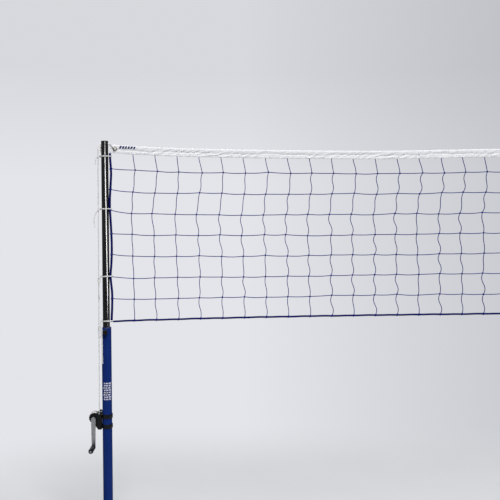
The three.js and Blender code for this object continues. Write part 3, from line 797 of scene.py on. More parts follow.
def net_strings(knots):
    net = Shape()
    pair = (-1.6, 1.6)  # the two turns of a string round a rope
    for column in range(1, COLUMNS):
        net.tube(upright_string(knots, column), STRING_R, 6)
    for row in range(1, ROWS):
        net.tube(level_string(knots, row), STRING_R, 6)
    for column in range(1, COLUMNS):
        for row in range(1, ROWS):
            lean = 0.7 if (column + row) % 2 else -0.7
            at = knots[column, row]
            net.tube(loop(at, (1, lean, 0), (lean, 0, 1), 3.2, 9), 2.2, 6, closed=True)
            at = at + (0, 0, 0.8)
            net.tube(loop(at, (1, -lean, 0.2), (0, 0.6, 1), 2.9, 8), 2.0, 6, closed=True)
        foot = knots[column, ROWS]
        for shift in pair:
            turn = loop(foot + (shift, 0, 0), (0, 1, 0), (0.25, 0, 1), FOOT_ROPE_R + 0.6, 12)
            net.tube(turn, STRING_R, 6, closed=True)
    for column in (0, COLUMNS):
        for row in range(1, ROWS):
            at = knots[column, row]
            for shift in pair:
                turn = loop(at + (0, 0, shift), (1, 0, 0.2), (0, 1, 0), SIDE_ROPE_R + 0.8, 14)
                net.tube(turn, STRING_R, 6, closed=True)
    made = net.build("net_strings", "net_string", outward=False)
    settle(made, "left_mast", "net_string", "net_mesh")


def bottom_rope():
    end = POST_X - SIDE_ROUTE[0][0] - SIDE_ROPE_R
    x = np.linspace(-end, end, 2400)
    wave = 0.5 * np.sin(2 * np.pi * x / CELL + 0.6) + 0.4 * np.sin(2 * np.pi * x / 310)
    path = np.stack([x, 0.6 * np.sin(2 * np.pi * x / 230), foot_height(x) + wave], 1)
    rope = Shape()
    rope.tube(path, FOOT_ROPE_R, 8)
    made = rope.build("bottom_rope_braid", "navy_rope", outward=False)
    settle(made, "left_mast", "navy_rope", "bottom_rope")


def head_rope():
    low, high = box("head_rope")
    x = np.linspace(low.x, high.x, 500)
    rope = Shape()
    rope.tube(np.stack([x, 0 * x, head_height(x) - 4.9], 1), HEAD_ROPE_R, 10)
    made = rope.build("head_rope_braid", "white_rope", outward=False)
    settle(made, "left_mast", "white_rope", "head_rope")


# ---- the head band ----

BAND_FACE = [  # depth below the band's top, and stand-off from its middle
    (0.0, 0.0), (0.5, 2.2), (1.6, 4.2), (3.2, 5.5), (5.4, 6.0), (8, 6.0), (11, 6.0), (13.8, 5.8), (16.4, 5.3),
    (19, 4.5), (21.4, 3.6), (23.6, 2.8), (25.2, 2.4), (26.8, 3.0), (28.4, 3.8), (30.2, 4.3), (32.6, 4.5),
    (34.8, 4.4), (36.8, 3.9), (37.4, 4.6), (40, 4.1), (42.5, 3.7), (44, 3.4),
]


def wave(x, length, phase=0.0):
    return np.sin(2 * np.pi * x / length + phase)


def band_face(x, front):
    """The points of one face of the band, as [along, down the face], with its folds and gathers."""
    depth, stand = np.array(BAND_FACE).T
    depth, stand = depth[None, :], stand[None, :]
    x = x[:, None]
    phase = 0.0 if front else 1.9
    wander = 2.6 * wave(x, 470, phase) + 1.9 * wave(x, 183, 2 * phase) + 1.0 * wave(x, 71, phase)
    low = BAND_HEIGHT - depth
    hold = np.sin(np.pi * np.clip((depth - 4) / (BAND_HEIGHT - 8), 0, 1))
    depth_now = depth + wander * hold
    fold = 0.75 + 0.45 * wave(x, 290, 1.0 + phase)
    stand_now = stand + (1 - fold) * 1.6 * np.exp(-((depth - 25) / 4) ** 2)
    nearest = np.round((x + HALF_NET) / CELL) * CELL - HALF_NET
    off = x - nearest + 14
    strength = 0.7 + 0.6 * np.sin(nearest * 0.0073 + phase) ** 2
    spread = 0.62 * low
    ridges = sum(np.exp(-((off - s * spread) / (2.2 + 0.10 * low)) ** 2) for s in (-1, 1))
    dimple = np.exp(-((off / (1.5 + 0.55 * low)) ** 2))
    reach = np.exp(-low / 15)
    stand_now = stand_now + strength * reach * (1.9 * ridges - 1.8 * dimple)
    slanted = x + depth * (1.5 + wave(x, 900))
    ripple = 1.1 * wave(slanted, 53, 3 * wave(x, 310) + phase) + 0.7 * wave(slanted, 29, 2 * wave(x, 170))
    stand_now = stand_now + ripple * np.clip((depth - 4) / 10, 0, 1) * (0.4 + np.clip(low / 20, 0, 0.8))
    depth_now = depth_now - strength * 1.6 * np.exp(-(off / 7) ** 2) * np.exp(-low / 8)
    stand_now = np.where(depth < 10, stand, np.maximum(stand_now, 1.0))
    y = stand_now * (-1 if front else 1)
    z = head_height(x) - depth_now
    return np.stack([np.broadcast_to(x, y.shape), y, z], 2)


EYELET_CUT = 9.0


def head_band():
    end = POST_X - BAND_END
    eyelet_x = POST_X - EYELET.x
    near = np.arange(eyelet_x - 24, end, 1.5)
    x = np.concatenate([[-end], -near[::-1], np.arange(-near[0] + 6, near[0], 6), near, [end]])
    front, back = band_face(x, True), band_face(x, False)
    points = np.concatenate([front[:, ::-1], back[:, 1:]], 1)
    down = np.linalg.norm(np.diff(np.array(BAND_FACE), axis=0), axis=1).cumsum()
    v = np.concatenate([down[::-1], [0], -down])
    band = Shape()
    band.grid(points, MM * np.minimum(x + end, end - x), MM * v)
    made = band.build("band_cloth_strip", "band_cloth", outward=False, sharp=80)
    work = bmesh.new()
    work.from_mesh(made.data)
    holes = [Vector((s * eyelet_x, 0, EYELET.z)) * MM for s in (-1, 1)]
    inside = [face for face in work.faces
              if any((face.calc_center_median() - hole).xz.length < EYELET_CUT * MM for hole in holes)]
    bmesh.ops.delete(work, geom=inside, context="FACES")
    work.to_mesh(made.data)
    work.free()
    thicken(made, 0.8, 0.0)
    made.data.set_sharp_from_angle(angle=math.radians(60))
    settle(made, "left_mast", "band_cloth", "head_band")
    seams = band_seams(x)


def band_seams(x):
    """The stitches that close the hem, through both faces."""
    seams = Shape()
    pitch, length = 4.5, 3.2
    starts = np.arange(x[0] + 4, x[-1] - 6, pitch)
    hem = BAND_FACE.index((40, 4.1))
    for front in (True, False):
        face = band_face(x, front)[:, hem]
        out = -0.55 if front else 0.55
        for start in starts:
            along = start + length * np.array([0, 0.2, 0.8, 1])
            y = np.interp(along, face[:, 0], face[:, 1]) + out * np.array([-0.2, 1, 1, -0.2])
            z = np.interp(along, face[:, 0], face[:, 2])
            seams.tube(np.stack([along, y, z], 1), 0.35, 4)
    made = settle(seams.build("band_stitches", "white_rope", outward=False), "left_mast", "band_cloth")
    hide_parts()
    return made


# ---- ropes, ties and eyelets of one post ----

def side_rope(side):
    rope = Shape()
    rope.tube(side_route(), SIDE_ROPE_R, 14, lay=26, strands=3, relief=0.06)
    made = rope.build(f"{side}_side_rope_laid", "navy_rope", side)
    return settle(made, f"{side}_mast", "navy_rope", f"{side}_side_rope")


def overhand(centre, scale, tilt=0.0):
    """The closed line of an overhand knot pulled into a lump."""
    t = np.linspace(0, 2 * np.pi, 48, endpoint=False)
    wide = 2 + np.cos(3 * t)
    points = np.stack([wide * np.cos(2 * t), wide * np.sin(2 * t), np.sin(3 * t) * 1.1], 1)
    turn = np.array(Matrix.Rotation(tilt, 3, "X") @ Matrix.Rotation(math.pi / 2, 3, "Y"))
    return np.array(tuple(centre)) + points @ turn.T * scale


def tie_route(reach, z):
    """Two turns round the tube and the side rope."""
    big, small = UPPER_R + TIE_R + 0.2, SIDE_ROPE_R + TIE_R + 1.0
    turn = math.acos((big - small) / reach)
    angles = np.concatenate([np.linspace(math.pi, 2 * math.pi - turn, 14), np.linspace(-turn, turn, 9),
                             np.linspace(turn, math.pi, 14, endpoint=False)])
    centre = np.where((np.arange(len(angles)) >= 14) & (np.arange(len(angles)) < 23), reach, 0)
    radius = np.where(centre > 0, small, big)
    ring = np.stack([centre + radius * np.cos(angles), radius * np.sin(angles)], 1)
    both = np.vstack([ring, ring])
    rise = np.linspace(-TIE_R * 1.1, TIE_R * 1.1, len(both))
    return smooth_route(np.column_stack([both, z + rise]), 2)


def tie(side, name):
    z = TIE_Z[name]
    cord = Shape()
    cord.tube(tie_route(TIE_REACH[name], z), TIE_R * 0.96, 10, **TIE_LAY)
    cord.tube(overhand((-25.0, -1.0, z), 1.9, 0.4), TIE_R * 0.9, 9, closed=True)
    if name in ("bottom", "lower"):
        long = 92 if name == "bottom" else 34
        bow = [(-26, -3, 0), (-35, -7, -0.14 * long), (-43, -9, -0.5 * long), (-40, -10, -0.86 * long),
               (-33, -10, -long), (-29, -9, -0.8 * long), (-31, -8, -0.45 * long), (-27, -6, -0.1 * long),
               (-25, -3, 0)]
        cord.tube(smooth_route([(x, y, z + d) for x, y, d in bow], 2), TIE_R * 0.9, 10, **TIE_LAY)
    made = cord.build(f"{side}_tie_{name}_cord", "white_rope", side)
    return settle(made, f"{side}_mast", "white_rope", f"{side}_tie_{name}")


def tail(side, name):
    points = [(x, y, TIE_Z[name] + z) for x, y, z in TAILS[name]]
    route = smooth_route(points, 1.5)
    cord = Shape()
    cord.tube(route, TIE_R, 12, **TIE_LAY)
    made = cord.build(f"{side}_tail_{name}_cord", "white_rope", side)
    settle(made, f"{side}_mast", "white_rope", f"{side}_tail_{name}")


def eyelet(side):
    ring = Shape()
    inner, rim = 7, 12.5
    profile = [(inner, -5.8), (inner + 0.9, -6.4), (rim - 1.4, -6.1), (rim - 0.2, -5.6), (rim, -5.2),
               (inner + 1.8, -5.3), (inner + 1.8, 5.3), (rim, 5.2), (rim - 0.2, 5.6), (rim - 1.4, 6.1),
               (inner + 0.9, 6.4), (inner, 5.8), (inner, -5.8)]
    ring.turned(profile, EYELET, "y", 48)
    made = ring.build(f"{side}_eyelet_ring", "brass", side)
    return settle(made, "left_mast", "brass", f"{side}_eyelet")


def head_line(points):
    """A line that is knotted at the eyelet and led through the points."""
    line = Shape()
    line.tube(smooth_route([(EYELET.x, -13, EYELET.z), *points], 1.5), LINE_R, 12, **LINE_LAY)
    line.tube(overhand((EYELET.x, -12.5, EYELET.z), 2.3), LINE_R * 0.9, 9, closed=True)
    return line


def left_head_line():
    run = [(42, -12, EYELET.z + 13), (30, -9.5, EYELET.z + 24), (20, -3.5, SHEAVE.z + LINE_RUN - 0.5),
           (6, 0, SHEAVE.z + LINE_RUN)]
    for at in np.radians((90, 105, 120, 135, 150, 165, 178)):
        run.append((SHEAVE.x + LINE_RUN * math.cos(at), 0, SHEAVE.z + LINE_RUN * math.sin(at)))
    line = head_line(run)
    through = [(EYELET.x, -12, EYELET.z - 3), (EYELET.x, 0, EYELET.z - 1), (EYELET.x, 9, EYELET.z)]
    line.tube(smooth_route(through, 2), LINE_R * 0.9, 10)
    made = line.build("left_head_line_rope", "white_rope", "left")
    settle(made, "left_mast", "white_rope", "left_head_line")


def right_head_line():
    line = head_line([(40, -19, EYELET.z + 12), (18, EYE_RING_Y + 2, EYE_BOLT_Z - 1),
                      (0, EYE_RING_Y, EYE_BOLT_Z), (-10, EYE_RING_Y, EYE_BOLT_Z)])
    line.tube(overhand((-13, EYE_RING_Y, EYE_BOLT_Z), 2.3, 0.6), LINE_R * 0.9, 9, closed=True)
    made = line.build("right_head_line_rope", "white_rope", "right")
    settle(made, "right_mast", "white_rope", "right_head_line")


def tension_rope():
    top = Vector((SHEAVE.x - LINE_RUN, 0, SHEAVE.z - 0.6))
    foot = Vector((DRUM_X + 25, 0, DRUM_Z))
    points = [foot.lerp(top, t) for t in np.linspace(0, 1, 5)]
    rope = Shape()
    rope.tube(smooth_route(points, 1.6), LINE_R, 12, **LINE_LAY)
    made = rope.build("tension_rope_braid", "white_rope", "left")
    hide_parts("tension_rope")
    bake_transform(made)


# ---- the tubes ----

def cylinder(name, radius, low, high, x, z, side):
    """A cutter along Y."""
    body = Shape()
    body.turned(plain(radius, low, high), (x, 0, z), "y", 32)
    return body.build(name, "black_tube", side)


def upper_tube(side):
    tube = Shape()
    tube.turned(rounded(UPPER_R - WALL, UPPER_LOW, UPPER_R, UPPER_HIGH, 0.5), segments=96)
    made = tube.build(f"{side}_upper_tube_fine", "black_tube", side)
    for i, z in enumerate(SPOT_HOLES):
        cut_out(made, cylinder(f"hole_{i}", 3.5, UPPER_R - WALL - 2, UPPER_R + 4, 0, z, side))
    if side == "left":
        slot = Shape()
        half, tall = 6.5, SHEAVE_R + 5
        slot.block(-UPPER_R - 5, UPPER_R + 5, -half, half, SHEAVE.z - tall, SHEAVE.z + tall)
        cut_out(made, slot.build("slot", "black_tube", side))
    x, z = (SHEAVE.x, SHEAVE.z) if side == "left" else (0, EYE_BOLT_Z)
    cut_out(made, cylinder("bore", 3.3, -30, 30, x, z, side))
    SHINY.objects.link(made)
    return settle(made, f"{side}_mast", "black_tube", f"{side}_upper_tube")


def cap(side):
    low, high = box(f"{side}_cap")
    plug = UPPER_R - WALL - 0.3
    top = Shape()
    top.turned([(0, low.z), (plug, low.z), (plug, high.z - 3), (UPPER_R - 0.2, high.z - 3),
                (UPPER_R, high.z - 2.8), (UPPER_R, high.z - 1.6), (UPPER_R - 0.5, high.z - 0.7),
                (UPPER_R - 1.6, high.z - 0.1), (UPPER_R - 3, high.z), (6, high.z),
                (5.4, high.z - 0.5), (0, high.z - 0.5)], segments=64)
    made = top.build(f"{side}_cap_moulded", "black_plastic", side)
    settle(made, f"{side}_mast", "black_plastic", f"{side}_cap")


def bolt_head(shape, x, z, low, high, radius, sides=6, look=0):
    """A hexagon head whose axis is along Y."""
    outline = arc(x, z, radius, 0, 360 - 360 / sides, sides)
    shape.prism(outline, -high, -low, "y", look)


def sheave_parts():
    wheel = Shape()
    bore = 3.3
    groove = [(SHEAVE_R, -SHEAVE_HALF + 0.8), (SHEAVE_R - 0.4, -SHEAVE_HALF + 1.5),
              *[(GROOVE_R + 2.4 * (1 - math.cos(a)), 3.2 * math.sin(a)) for a in np.linspace(-1.2, 1.2, 9)],
              (SHEAVE_R - 0.4, SHEAVE_HALF - 1.5), (SHEAVE_R, SHEAVE_HALF - 0.8)]
    wheel.turned([(bore, -SHEAVE_HALF), (9, -SHEAVE_HALF), (9.6, -SHEAVE_HALF + 1.4),
                  (17, -SHEAVE_HALF + 1.4), (17.6, -SHEAVE_HALF), (SHEAVE_R - 0.5, -SHEAVE_HALF),
                  *groove, (SHEAVE_R - 0.5, SHEAVE_HALF), (17.6, SHEAVE_HALF),
                  (17, SHEAVE_HALF - 1.4), (9.6, SHEAVE_HALF - 1.4), (9, SHEAVE_HALF),
                  (bore, SHEAVE_HALF), (bore, -SHEAVE_HALF)], SHEAVE, "y", 72)
    settle(wheel.build("sheave_wheel", "nylon", "left"), "pulley", "nylon", "sheave")
    axle = Shape()
    axle.turned(rod(3, -18, 17.7), SHEAVE, "y", 32)
    axle.turned([(0, 17.6), (5.2, 17.6), (5.5, 18.2), (5.2, 19.8), (4, 20.6),
                 (1.6, 21), (0, 21)], SHEAVE, "y", 32)
    settle(axle.build("sheave_axle_pin", "dark_steel", "left"), "left_mast", "steel", "sheave_axle")


def eye_bolt():
    bolt = Shape()
    bolt.turned(rod(3, -27, 23.4), (0, 0, EYE_BOLT_Z), "y", 32)
    bolt_head(bolt, 0, EYE_BOLT_Z, -25, -20, 6.3)
    bolt.turned(plain(6.5, 19.4, 20.4), (0, 0, EYE_BOLT_Z), "y", 32)
    centre = (0, EYE_RING_Y, EYE_BOLT_Z)
    bolt.tube(loop(centre, (0, 1, 0), (0, 0, 1), 8, 40), 3, 16, closed=True)
    settle(bolt.build("eye_bolt_forged", "steel", "right", 0.3), "right_mast", "steel", "eye_bolt")


def lower_tube(side):
    tube = Shape()
    tube.turned(rounded(LOWER_R - WALL, LOWER_LOW, LOWER_R, LOWER_HIGH, 0.6), segments=96)
    made = tube.build(f"{side}_lower_tube_fine", ["blue_tube", "print"], side)
    cut_out(made, cylinder("screw_hole", 4.3, LOWER_R - WALL - 2, LOWER_R + 8, 0, KNOB_Z, side))
    settle(made, "stand", "blue_tube", f"{side}_lower_tube")
    boss = Shape()
    boss.turned([(4.3, LOWER_R - 1), (10.5, LOWER_R - 2), (9.6, LOWER_R + 0.8),
                 (9, LOWER_R + 1.6), (9, LOWER_R + 4.3), (8.3, LOWER_R + 5),
                 (4.3, LOWER_R + 5), (4.3, LOWER_R - 1)], (0, 0, KNOB_Z), "y", 40)
    settle(boss.build(f"{side}_screw_boss", "blue_tube", side), "stand", "blue_tube")
    stop = Shape()
    z = UPPER_LOW - 4.3
    stop.turned(rod(4, -29, 28), (0, 0, z), "y", 32)
    bolt_head(stop, 0, z, 25.8, 29, 6.4)
    bolt_head(stop, 0, z, -28, -25.8, 6.4)
    settle(stop.build(f"{side}_stop_bolt", "zinc", side, 0.3), "stand", "steel")
    marks(side)


def marks(side):
    """Rows of printed dashes, which mark heights on the front of the lower tube."""
    dashes = Shape()
    skin = LOWER_R + 0.12
    lowest, pitch, tall = 857, 12.5, 8
    for i in range(8):
        z = lowest + pitch * i
        shift = 5 * math.sin(2.2 * i)
        for start, end in ((-124, -101), (-95, -72), (-64, -30)):
            angle = np.radians(np.linspace(start + shift, end + shift, 8))
            edge = np.stack([skin * np.cos(angle), skin * np.sin(angle), np.full(8, z)], 1)
            rows = [edge, edge + (0, 0, tall)]
            dashes.grid(np.stack(rows), np.array([0, tall]) * MM, np.linspace(0, 0.01, 8))
    made = dashes.build(f"{side}_height_marks", "print", side, outward=False)
    thicken(made, 0.15, -1.0)
    settle(made, "stand", "blue_tube")


def collar(side):
    low, high = box(f"{side}_collar")
    inner, sleeve, flange = UPPER_R + 0.3, LOWER_R - WALL - 0.3, LOWER_R + 0.5
    seat = LOWER_HIGH + 0.3
    ring = Shape()
    ring.turned([(inner, low.z), (sleeve, low.z), (sleeve, seat), (flange - 0.3, seat), (flange, seat + 0.4),
                 (flange, high.z - 2.4), (flange - 0.4, high.z - 1.3), (flange - 1.4, high.z - 0.4),
                 (flange - 3, high.z), (inner + 1.2, high.z), (inner + 0.3, high.z - 0.4),
                 (inner, high.z - 1.4), (inner, low.z)], segments=72)
    made = ring.build(f"{side}_collar_moulded", "blue_plastic", side)
    cut_out(made, cylinder("screw_way", 4.3, 10, 60, 0, KNOB_Z, side))
    settle(made, "stand", "blue_plastic", f"{side}_collar")


def knob(side):
    grip = Shape()
    count, lobes, r = 120, 5, 14
    angle = 2 * np.pi * np.arange(count) / count
    shape = 1 - 0.057 * (1 - np.cos(lobes * angle))
    rows = [(0.80, 34.0), (0.93, 34.4), (0.985, 35.4), (1.0, 37.0), (1.0, 45.5), (0.985, 47.4), (0.93, 48.9),
            (0.84, 49.7), (0.70, 50.0), (0.45, 49.8), (0.40, 49.2), (0.38, 48.0), (0.16, 48.0)]
    flat = r * shape * (np.cos(angle), np.sin(angle))
    rings = [np.stack([s * flat[0], np.full(count, -y), KNOB_Z + s * flat[1]], 1) for s, y in rows]
    grip.grid(np.stack(rings), np.arange(len(rows) + 1) * MM, np.arange(count + 1) / count, False, True)
    grip.face(rings[0])
    grip.face(rings[-1])
    grip.turned([(0, UPPER_R + 0.3), (3.2, UPPER_R + 0.3), (4, UPPER_R + 1.2), (4, 35),
                 (0, 35)], (0, 0, KNOB_Z), "y", 32, look=1)
    made = grip.build(f"{side}_clamp_knob_moulded", ["black_plastic", "zinc"], side)
    settle(made, f"{side}_knob", "black_plastic", f"{side}_clamp_knob")


# ---- the winch ----

def winch_bracket():
    part = Shape()
    for z in (700, 755):
        part.turned(rounded(LOWER_R + 0.3, z, LOWER_R + 3.5, z + 22, 0.6), segments=72)
    part.block(-33, -28, -26.9, 26.9, 696, 777)
    outline = [(-28, 696), (-28, 776), *arc(-39, 784, 10, 40, 160, 12), (-56, 782),
               *arc(DRUM_X, DRUM_Z, 20, 90, 225, 24), (-45, 696)]
    for low, high in ((-27, -24), (24, 27)):
        part.prism(outline, low, high)
    made = part.build("winch_bracket_plates", "black_paint", "left", 0.7)
    settle(made, "stand", "black_paint", "winch_bracket")
    bolts = Shape()
    for z in (711, 766):
        bolts.turned([(0, 27.9), (4.6, 27.9), (4.6, 29.2), (2.6, 31.4), (0, 31.8)], (-10, 0, z), "x", 24)
    bolts.turned([(0, 14), (2.7, 14), (2.7, 27), (5, 27), (5, 29.5),
                  (3, 30.5), (0, 30.5)], (PAWL_PIVOT[0], 0, PAWL_PIVOT[1]), "y", 32)
    settle(bolts.build("winch_rivets", "zinc", "left"), "stand", "steel")


def winch_drum():
    drum = Shape()
    at = (DRUM_X, 0, DRUM_Z)
    shaft, core, flange, half, thick = 6.3, 21, 30, 19.5, 3
    drum.turned([(shaft, -half), (12, -half), (13, -half + 1), (24, -half + 1),
                 (25, -half), (flange - 0.8, -half), (flange, -half + 0.8), (flange, -half + 2.2),
                 (flange - 0.8, -half + thick), (core, -half + thick), (core, half - thick), (shaft, half - thick),
                 (shaft, -half)], at, "y", 72)
    teeth = []
    step, depth = 2 * math.pi / 16, 4
    for i in range(16):
        turn = step * i
        steps = [(turn + 0.06 + share * (step - 0.06), flange - depth * (1 - share))
                 for share in (0.0, 0.35, 0.7)]
        teeth += [(DRUM_X + r * math.cos(a), DRUM_Z + r * math.sin(a)) for a, r in ((turn, flange), *steps)]
    drum.prism(teeth, -half, -half + thick)
    made = drum.build("winch_drum_turned", "black_paint", "left")
    settle(made, "winch", "black_paint", "winch_drum")
    rope = Shape()
    pitch, r = 5.1, core + LINE_R + 0.3
    for turns, way, radius, start, count in ((5.5, -1, r, 0.5, 220), (2.5, 1, r + 4.2, 0.55, 100)):
        t = np.linspace(0, 1, count)
        a = way * 2 * np.pi * turns * t
        path = [DRUM_X + radius * np.cos(a), (t - start) * turns * pitch, DRUM_Z + radius * np.sin(a)]
        rope.tube(np.stack(path, 1), LINE_R, 12, **LINE_LAY)
    settle(rope.build("winch_rope_turns", "white_rope", "left"), "winch", "white_rope")


def crank():
    arm = Shape()
    at = (DRUM_X, 0, DRUM_Z)
    end = (DRUM_X, 0, CRANK_END_Z)
    arm.turned(rod(6, -34, 47), at, "y", 32)
    arm.turned([(6, -31), (10, -31), (10, -28), (6, -28), (6, -31)], at, "y", 32)
    outline = [*arc(DRUM_X, DRUM_Z, 12, 0, 180, 25), *arc(DRUM_X, CRANK_END_Z, 10, 180, 360, 25)]
    arm.prism(outline, -46, -40)
    arm.turned([(0, 45), (5, 45), (5, 129.2), (4.2, 130), (0, 130)], end, "y", 32)
    bolt_head(arm, DRUM_X, DRUM_Z, 45.9, 50, 7.4)
    settle(arm.build("crank_arm_forged", "steel", "left", 0.8), "winch", "steel", "crank_arm")
    grip = Shape()
    body = [(11.2 + 2.1 * math.sin(math.pi * s) ** 0.6 - 1.0 * math.exp(-((s - 0.5) / 0.18) ** 2), 47 + 81 * s)
            for s in np.linspace(0, 1, 33)]
    grip.turned([(5.3, 47), (9.5, 47), *body[1:-1], (9.5, 128), (5.3, 128), (5.3, 47)], end, "y", 48)
    for h in (58, 63, 112, 117):
        ridge = [(12, h - 1), (13.4, h - 0.5), (13.4, h + 0.5), (12, h + 1), (12, h - 1)]
        grip.turned(ridge, end, "y", 48)
    settle(grip.build("crank_grip_moulded", "black_plastic", "left"), "grip", "black_plastic", "crank_grip")


def pawl():
    outline = [(3, -6), (6, 1), (16, 10), (15.4, 12.6), (13, 14), (1, 6), (-14, 5), (-21, 0.5), (-14.5, -0.5),
               (-4, -6)]
    x, z = PAWL_PIVOT
    c, s = math.cos(math.radians(5)), math.sin(math.radians(5))
    placed = [(x + u * c + v * s, z - u * s + v * c) for u, v in outline]
    plate = Shape()
    plate.prism(placed, -20.5, -15.5)
    settle(plate.build("winch_pawl_plate", "steel", "left", 0.6), "pawl", "steel", "winch_pawl")


# ---- the base ----

def base_plate(side):
    low = box(f"{side}_base_plate")[0]
    inner, outer, half, chamfer = 120, -600, 300, 40
    notch_x, notch_y = 60, 72
    plate = Shape()
    edge = [(inner, half - chamfer), (inner - chamfer, half), (outer + notch_x, half),
            (outer + notch_x, half - notch_y), (outer, half - notch_y)]
    plate.prism([*edge, *[(x, -y) for x, y in edge[::-1]]], low.z, PLATE_HIGH, "z")
    plate.turned(rounded(LOWER_R + 0.3, PLATE_HIGH - 1, 32, 170, 0.8), segments=72)
    web = [(30, 13), (102, 13), (102, 24), (38, 124), (30, 124)]
    for out in (1, -1):
        for across in "yx":
            plate.prism([(out * a, b) for a, b in web], -4, 4, across)
    for s in (-1, 1):
        y = s * 225
        ear = [(-560, 13), (-560, 40), (-590, 75), (-606, 75), *arc(-612, 61, 14, 90, 180, 8), (-626, 30),
               (-598, 13)]
        plate.prism(ear, y - 4, y + 4)
        stub = [(0, 223), (7, 223), (7, 272), (6.4, 273), (0, 273)]
        plate.turned([(r, -s * h) for r, h in stub], (WHEEL_X, 0, WHEEL_Z), "y", 32)
        stud = [(0, PLATE_HIGH - 1), (9, PLATE_HIGH - 1), (9, 138), (7.6, 140), (0, 140)]
        plate.turned(stud, (WEIGHT_X, s * STUD_Y, 0), "z", 40)
    made = plate.build(f"{side}_base_plate_welded", "black_paint", side, 1.0)
    settle(made, "stand", "black_paint", f"{side}_base_plate")
    welds(side)
    nuts(side)


def bead(seam, points):
    """A weld bead along a line: a tube whose width ripples."""
    path = smooth_route(points, 2)
    along = np.arange(len(path))
    seam.tube(path, 2.6 * (1 + 0.16 * np.sin(along * 1.9) + 0.05 * np.sin(along * 5.1)), 8)


def welds(side):
    seam = Shape()
    bead(seam, [(32.5 * math.cos(a), 32.5 * math.sin(a), PLATE_HIGH) for a in np.linspace(0, 2 * math.pi, 60)])
    lines = ([(34, PLATE_HIGH), (60, PLATE_HIGH), (98, PLATE_HIGH)], [(32, 24), (32, 70), (32, 118)])
    for c, s in ((1, 0), (0, 1), (-1, 0), (0, -1)):
        for off in (-4.5, 4.5):
            for line in lines:
                bead(seam, [(c * a - s * off, s * a + c * off, b) for a, b in line])
    settle(seam.build(f"{side}_weld_beads", "black_paint", side), "stand", "black_paint")


def nuts(side):
    """A washer and a nut on each stud, over the weights, and a cap on each stub axle."""
    parts = Shape()
    top = box(f"{side}_weight_upper")[1].z
    for s in (-1, 1):
        washer = [(9.1, top), (17, top), (17, top + 1.8), (16.4, top + 2.2), (9.1, top + 2.2), (9.1, top)]
        parts.turned(washer, (WEIGHT_X, s * STUD_Y, 0), "z", 40)
        parts.prism(arc(WEIGHT_X, s * STUD_Y, 14, 0, 300, 6), top + 2.2, top + 14, "z")
        near, far = s * -(WHEEL_Y + 13.2), s * -(WHEEL_Y + 15.2)
        parts.turned(plain(11, near, far), (WHEEL_X, 0, WHEEL_Z), "y", 32)
    settle(parts.build(f"{side}_stud_nuts", "zinc", side, 0.6), "stand", "steel")


def foot(side, which):
    """A rubber strip with grooves along its edges."""
    low, high = box(f"{side}_foot_{which}")
    out = FACING[side]
    x0, x1 = sorted((out * low.x + POST_X, out * high.x + POST_X))
    groove = [(0, 0.35), (1.2, 0.45), (1.2, 0.6), (0, 0.7)]  # depth, and height as a share of the strip's
    section = [(x0, 0), (x1, 0), *[(x1 - d, share * high.z) for d, share in groove], (x1, high.z), (x0, high.z),
               *[(x0 + d, share * high.z) for d, share in groove[::-1]]]
    strip = Shape()
    strip.prism(section, low.y, high.y)
    made = strip.build(f"{side}_foot_{which}_strip", "rubber", side, 0.5)
    settle(made, "stand", "rubber", f"{side}_foot_{which}")


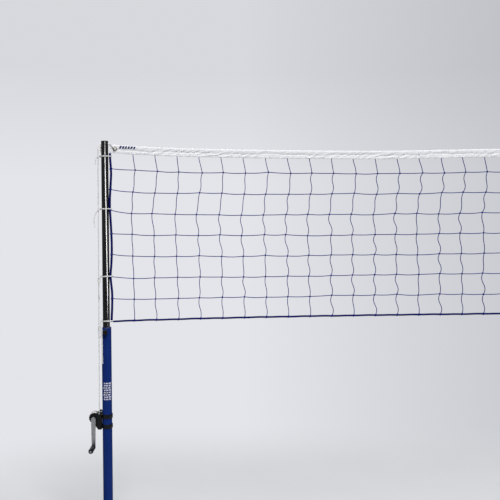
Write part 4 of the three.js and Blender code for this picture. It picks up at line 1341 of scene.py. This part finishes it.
def weight(side, which):
    low, high = box(f"{side}_weight_{which}")
    long, wide, c = 300, 420, 18
    edge = [(long / 2, wide / 2 - c), (long / 2 - c, wide / 2), (c - long / 2, wide / 2),
            (-long / 2, wide / 2 - c)]
    outline = [(x + WEIGHT_X, y) for x, y in [*edge, *[(x, -y) for x, y in edge[::-1]]]]
    block = Shape()
    block.prism(outline, low.z, high.z, "z")
    made = block.build(f"{side}_weight_{which}_cast", "iron", side)
    for y in (-STUD_Y, STUD_Y):
        hole = Shape()
        hole.turned(plain(10, low.z - 10, high.z + 10), (WEIGHT_X, y, 0), "z", 40)
        cut_out(made, hole.build("stud_hole", "iron", side))
    if which == "upper":
        tray = Shape()
        tray.block(WEIGHT_X - 110, WEIGHT_X + 110, -95, 95, high.z - 4, high.z + 10)
        cut_out(made, tray.build("tray", "iron", side))
    add_bevel(made, 2.5)
    settle(made, "stand", "iron", f"{side}_weight_{which}")


def wheel(side, which, y):
    tyre = Shape()
    at = (WHEEL_X, y, WHEEL_Z)
    half = 13
    crown = [(50 - 5 * (1 - math.cos(a)) - 0.2, half * 0.98 * math.sin(a))
             for a in np.linspace(-1.15, 1.15, 15)]
    tyre.turned([(38, -half * 0.86), (40, -half), (45, -half), *crown, (45, half), (40, half), (38, half * 0.86),
                 (38, -half * 0.86)], at, "y", 72)
    tyre.turned([(7.3, -half), (15.4, -half), (16, -half + 0.6), (17.5, -half + 4), (33, -half + 4),
                 (35, -half + 1.4), (38.4, -half + 1.4), (38.4, half - 1.4), (35, half - 1.4),
                 (33, half - 4), (17.5, half - 4), (16, half - 0.6), (15.4, half), (7.3, half),
                 (7.3, -half)], at, "y", 72, look=1)
    for i in range(6):
        c, s = math.cos(math.pi / 3 * i), math.sin(math.pi / 3 * i)
        rib = [(WHEEL_X + u * c - v * s, WHEEL_Z + u * s + v * c)
               for u, v in ((17, -1.6), (34, -1.6), (34, 1.6), (17, 1.6))]
        for low in (1.8 - half, half - 4.3):
            tyre.prism(rib, y + low, y + low + 2.5, look=1)
    made = tyre.build(f"{side}_wheel_{which}_turned", ["tyre", "hub"], side, 0.4)
    settle(made, f"{side}_wheel_{which}", "tyre", f"{side}_wheel_{which}")


# ---- putting it together ----

def add_net():
    knots = knot_places()
    net_strings(knots)
    bottom_rope()
    head_rope()
    head_band()


def add_post(side):
    for name in TIE_Z:
        tie(side, name)
        tail(side, name)
    side_rope(side)
    eyelet(side)
    upper_tube(side)
    cap(side)
    lower_tube(side)
    collar(side)
    knob(side)
    base_plate(side)
    for which in ("inner", "outer"):
        foot(side, which)
    for which in ("lower", "upper"):
        weight(side, which)
    wheel(side, "a", -WHEEL_Y)
    wheel(side, "b", WHEEL_Y)


add_studio()
add_materials()
add_net()
for one in FACING:
    add_post(one)
left_head_line()
right_head_line()
tension_rope()
sheave_parts()
eye_bolt()
winch_bracket()
winch_drum()
crank()
pawl()
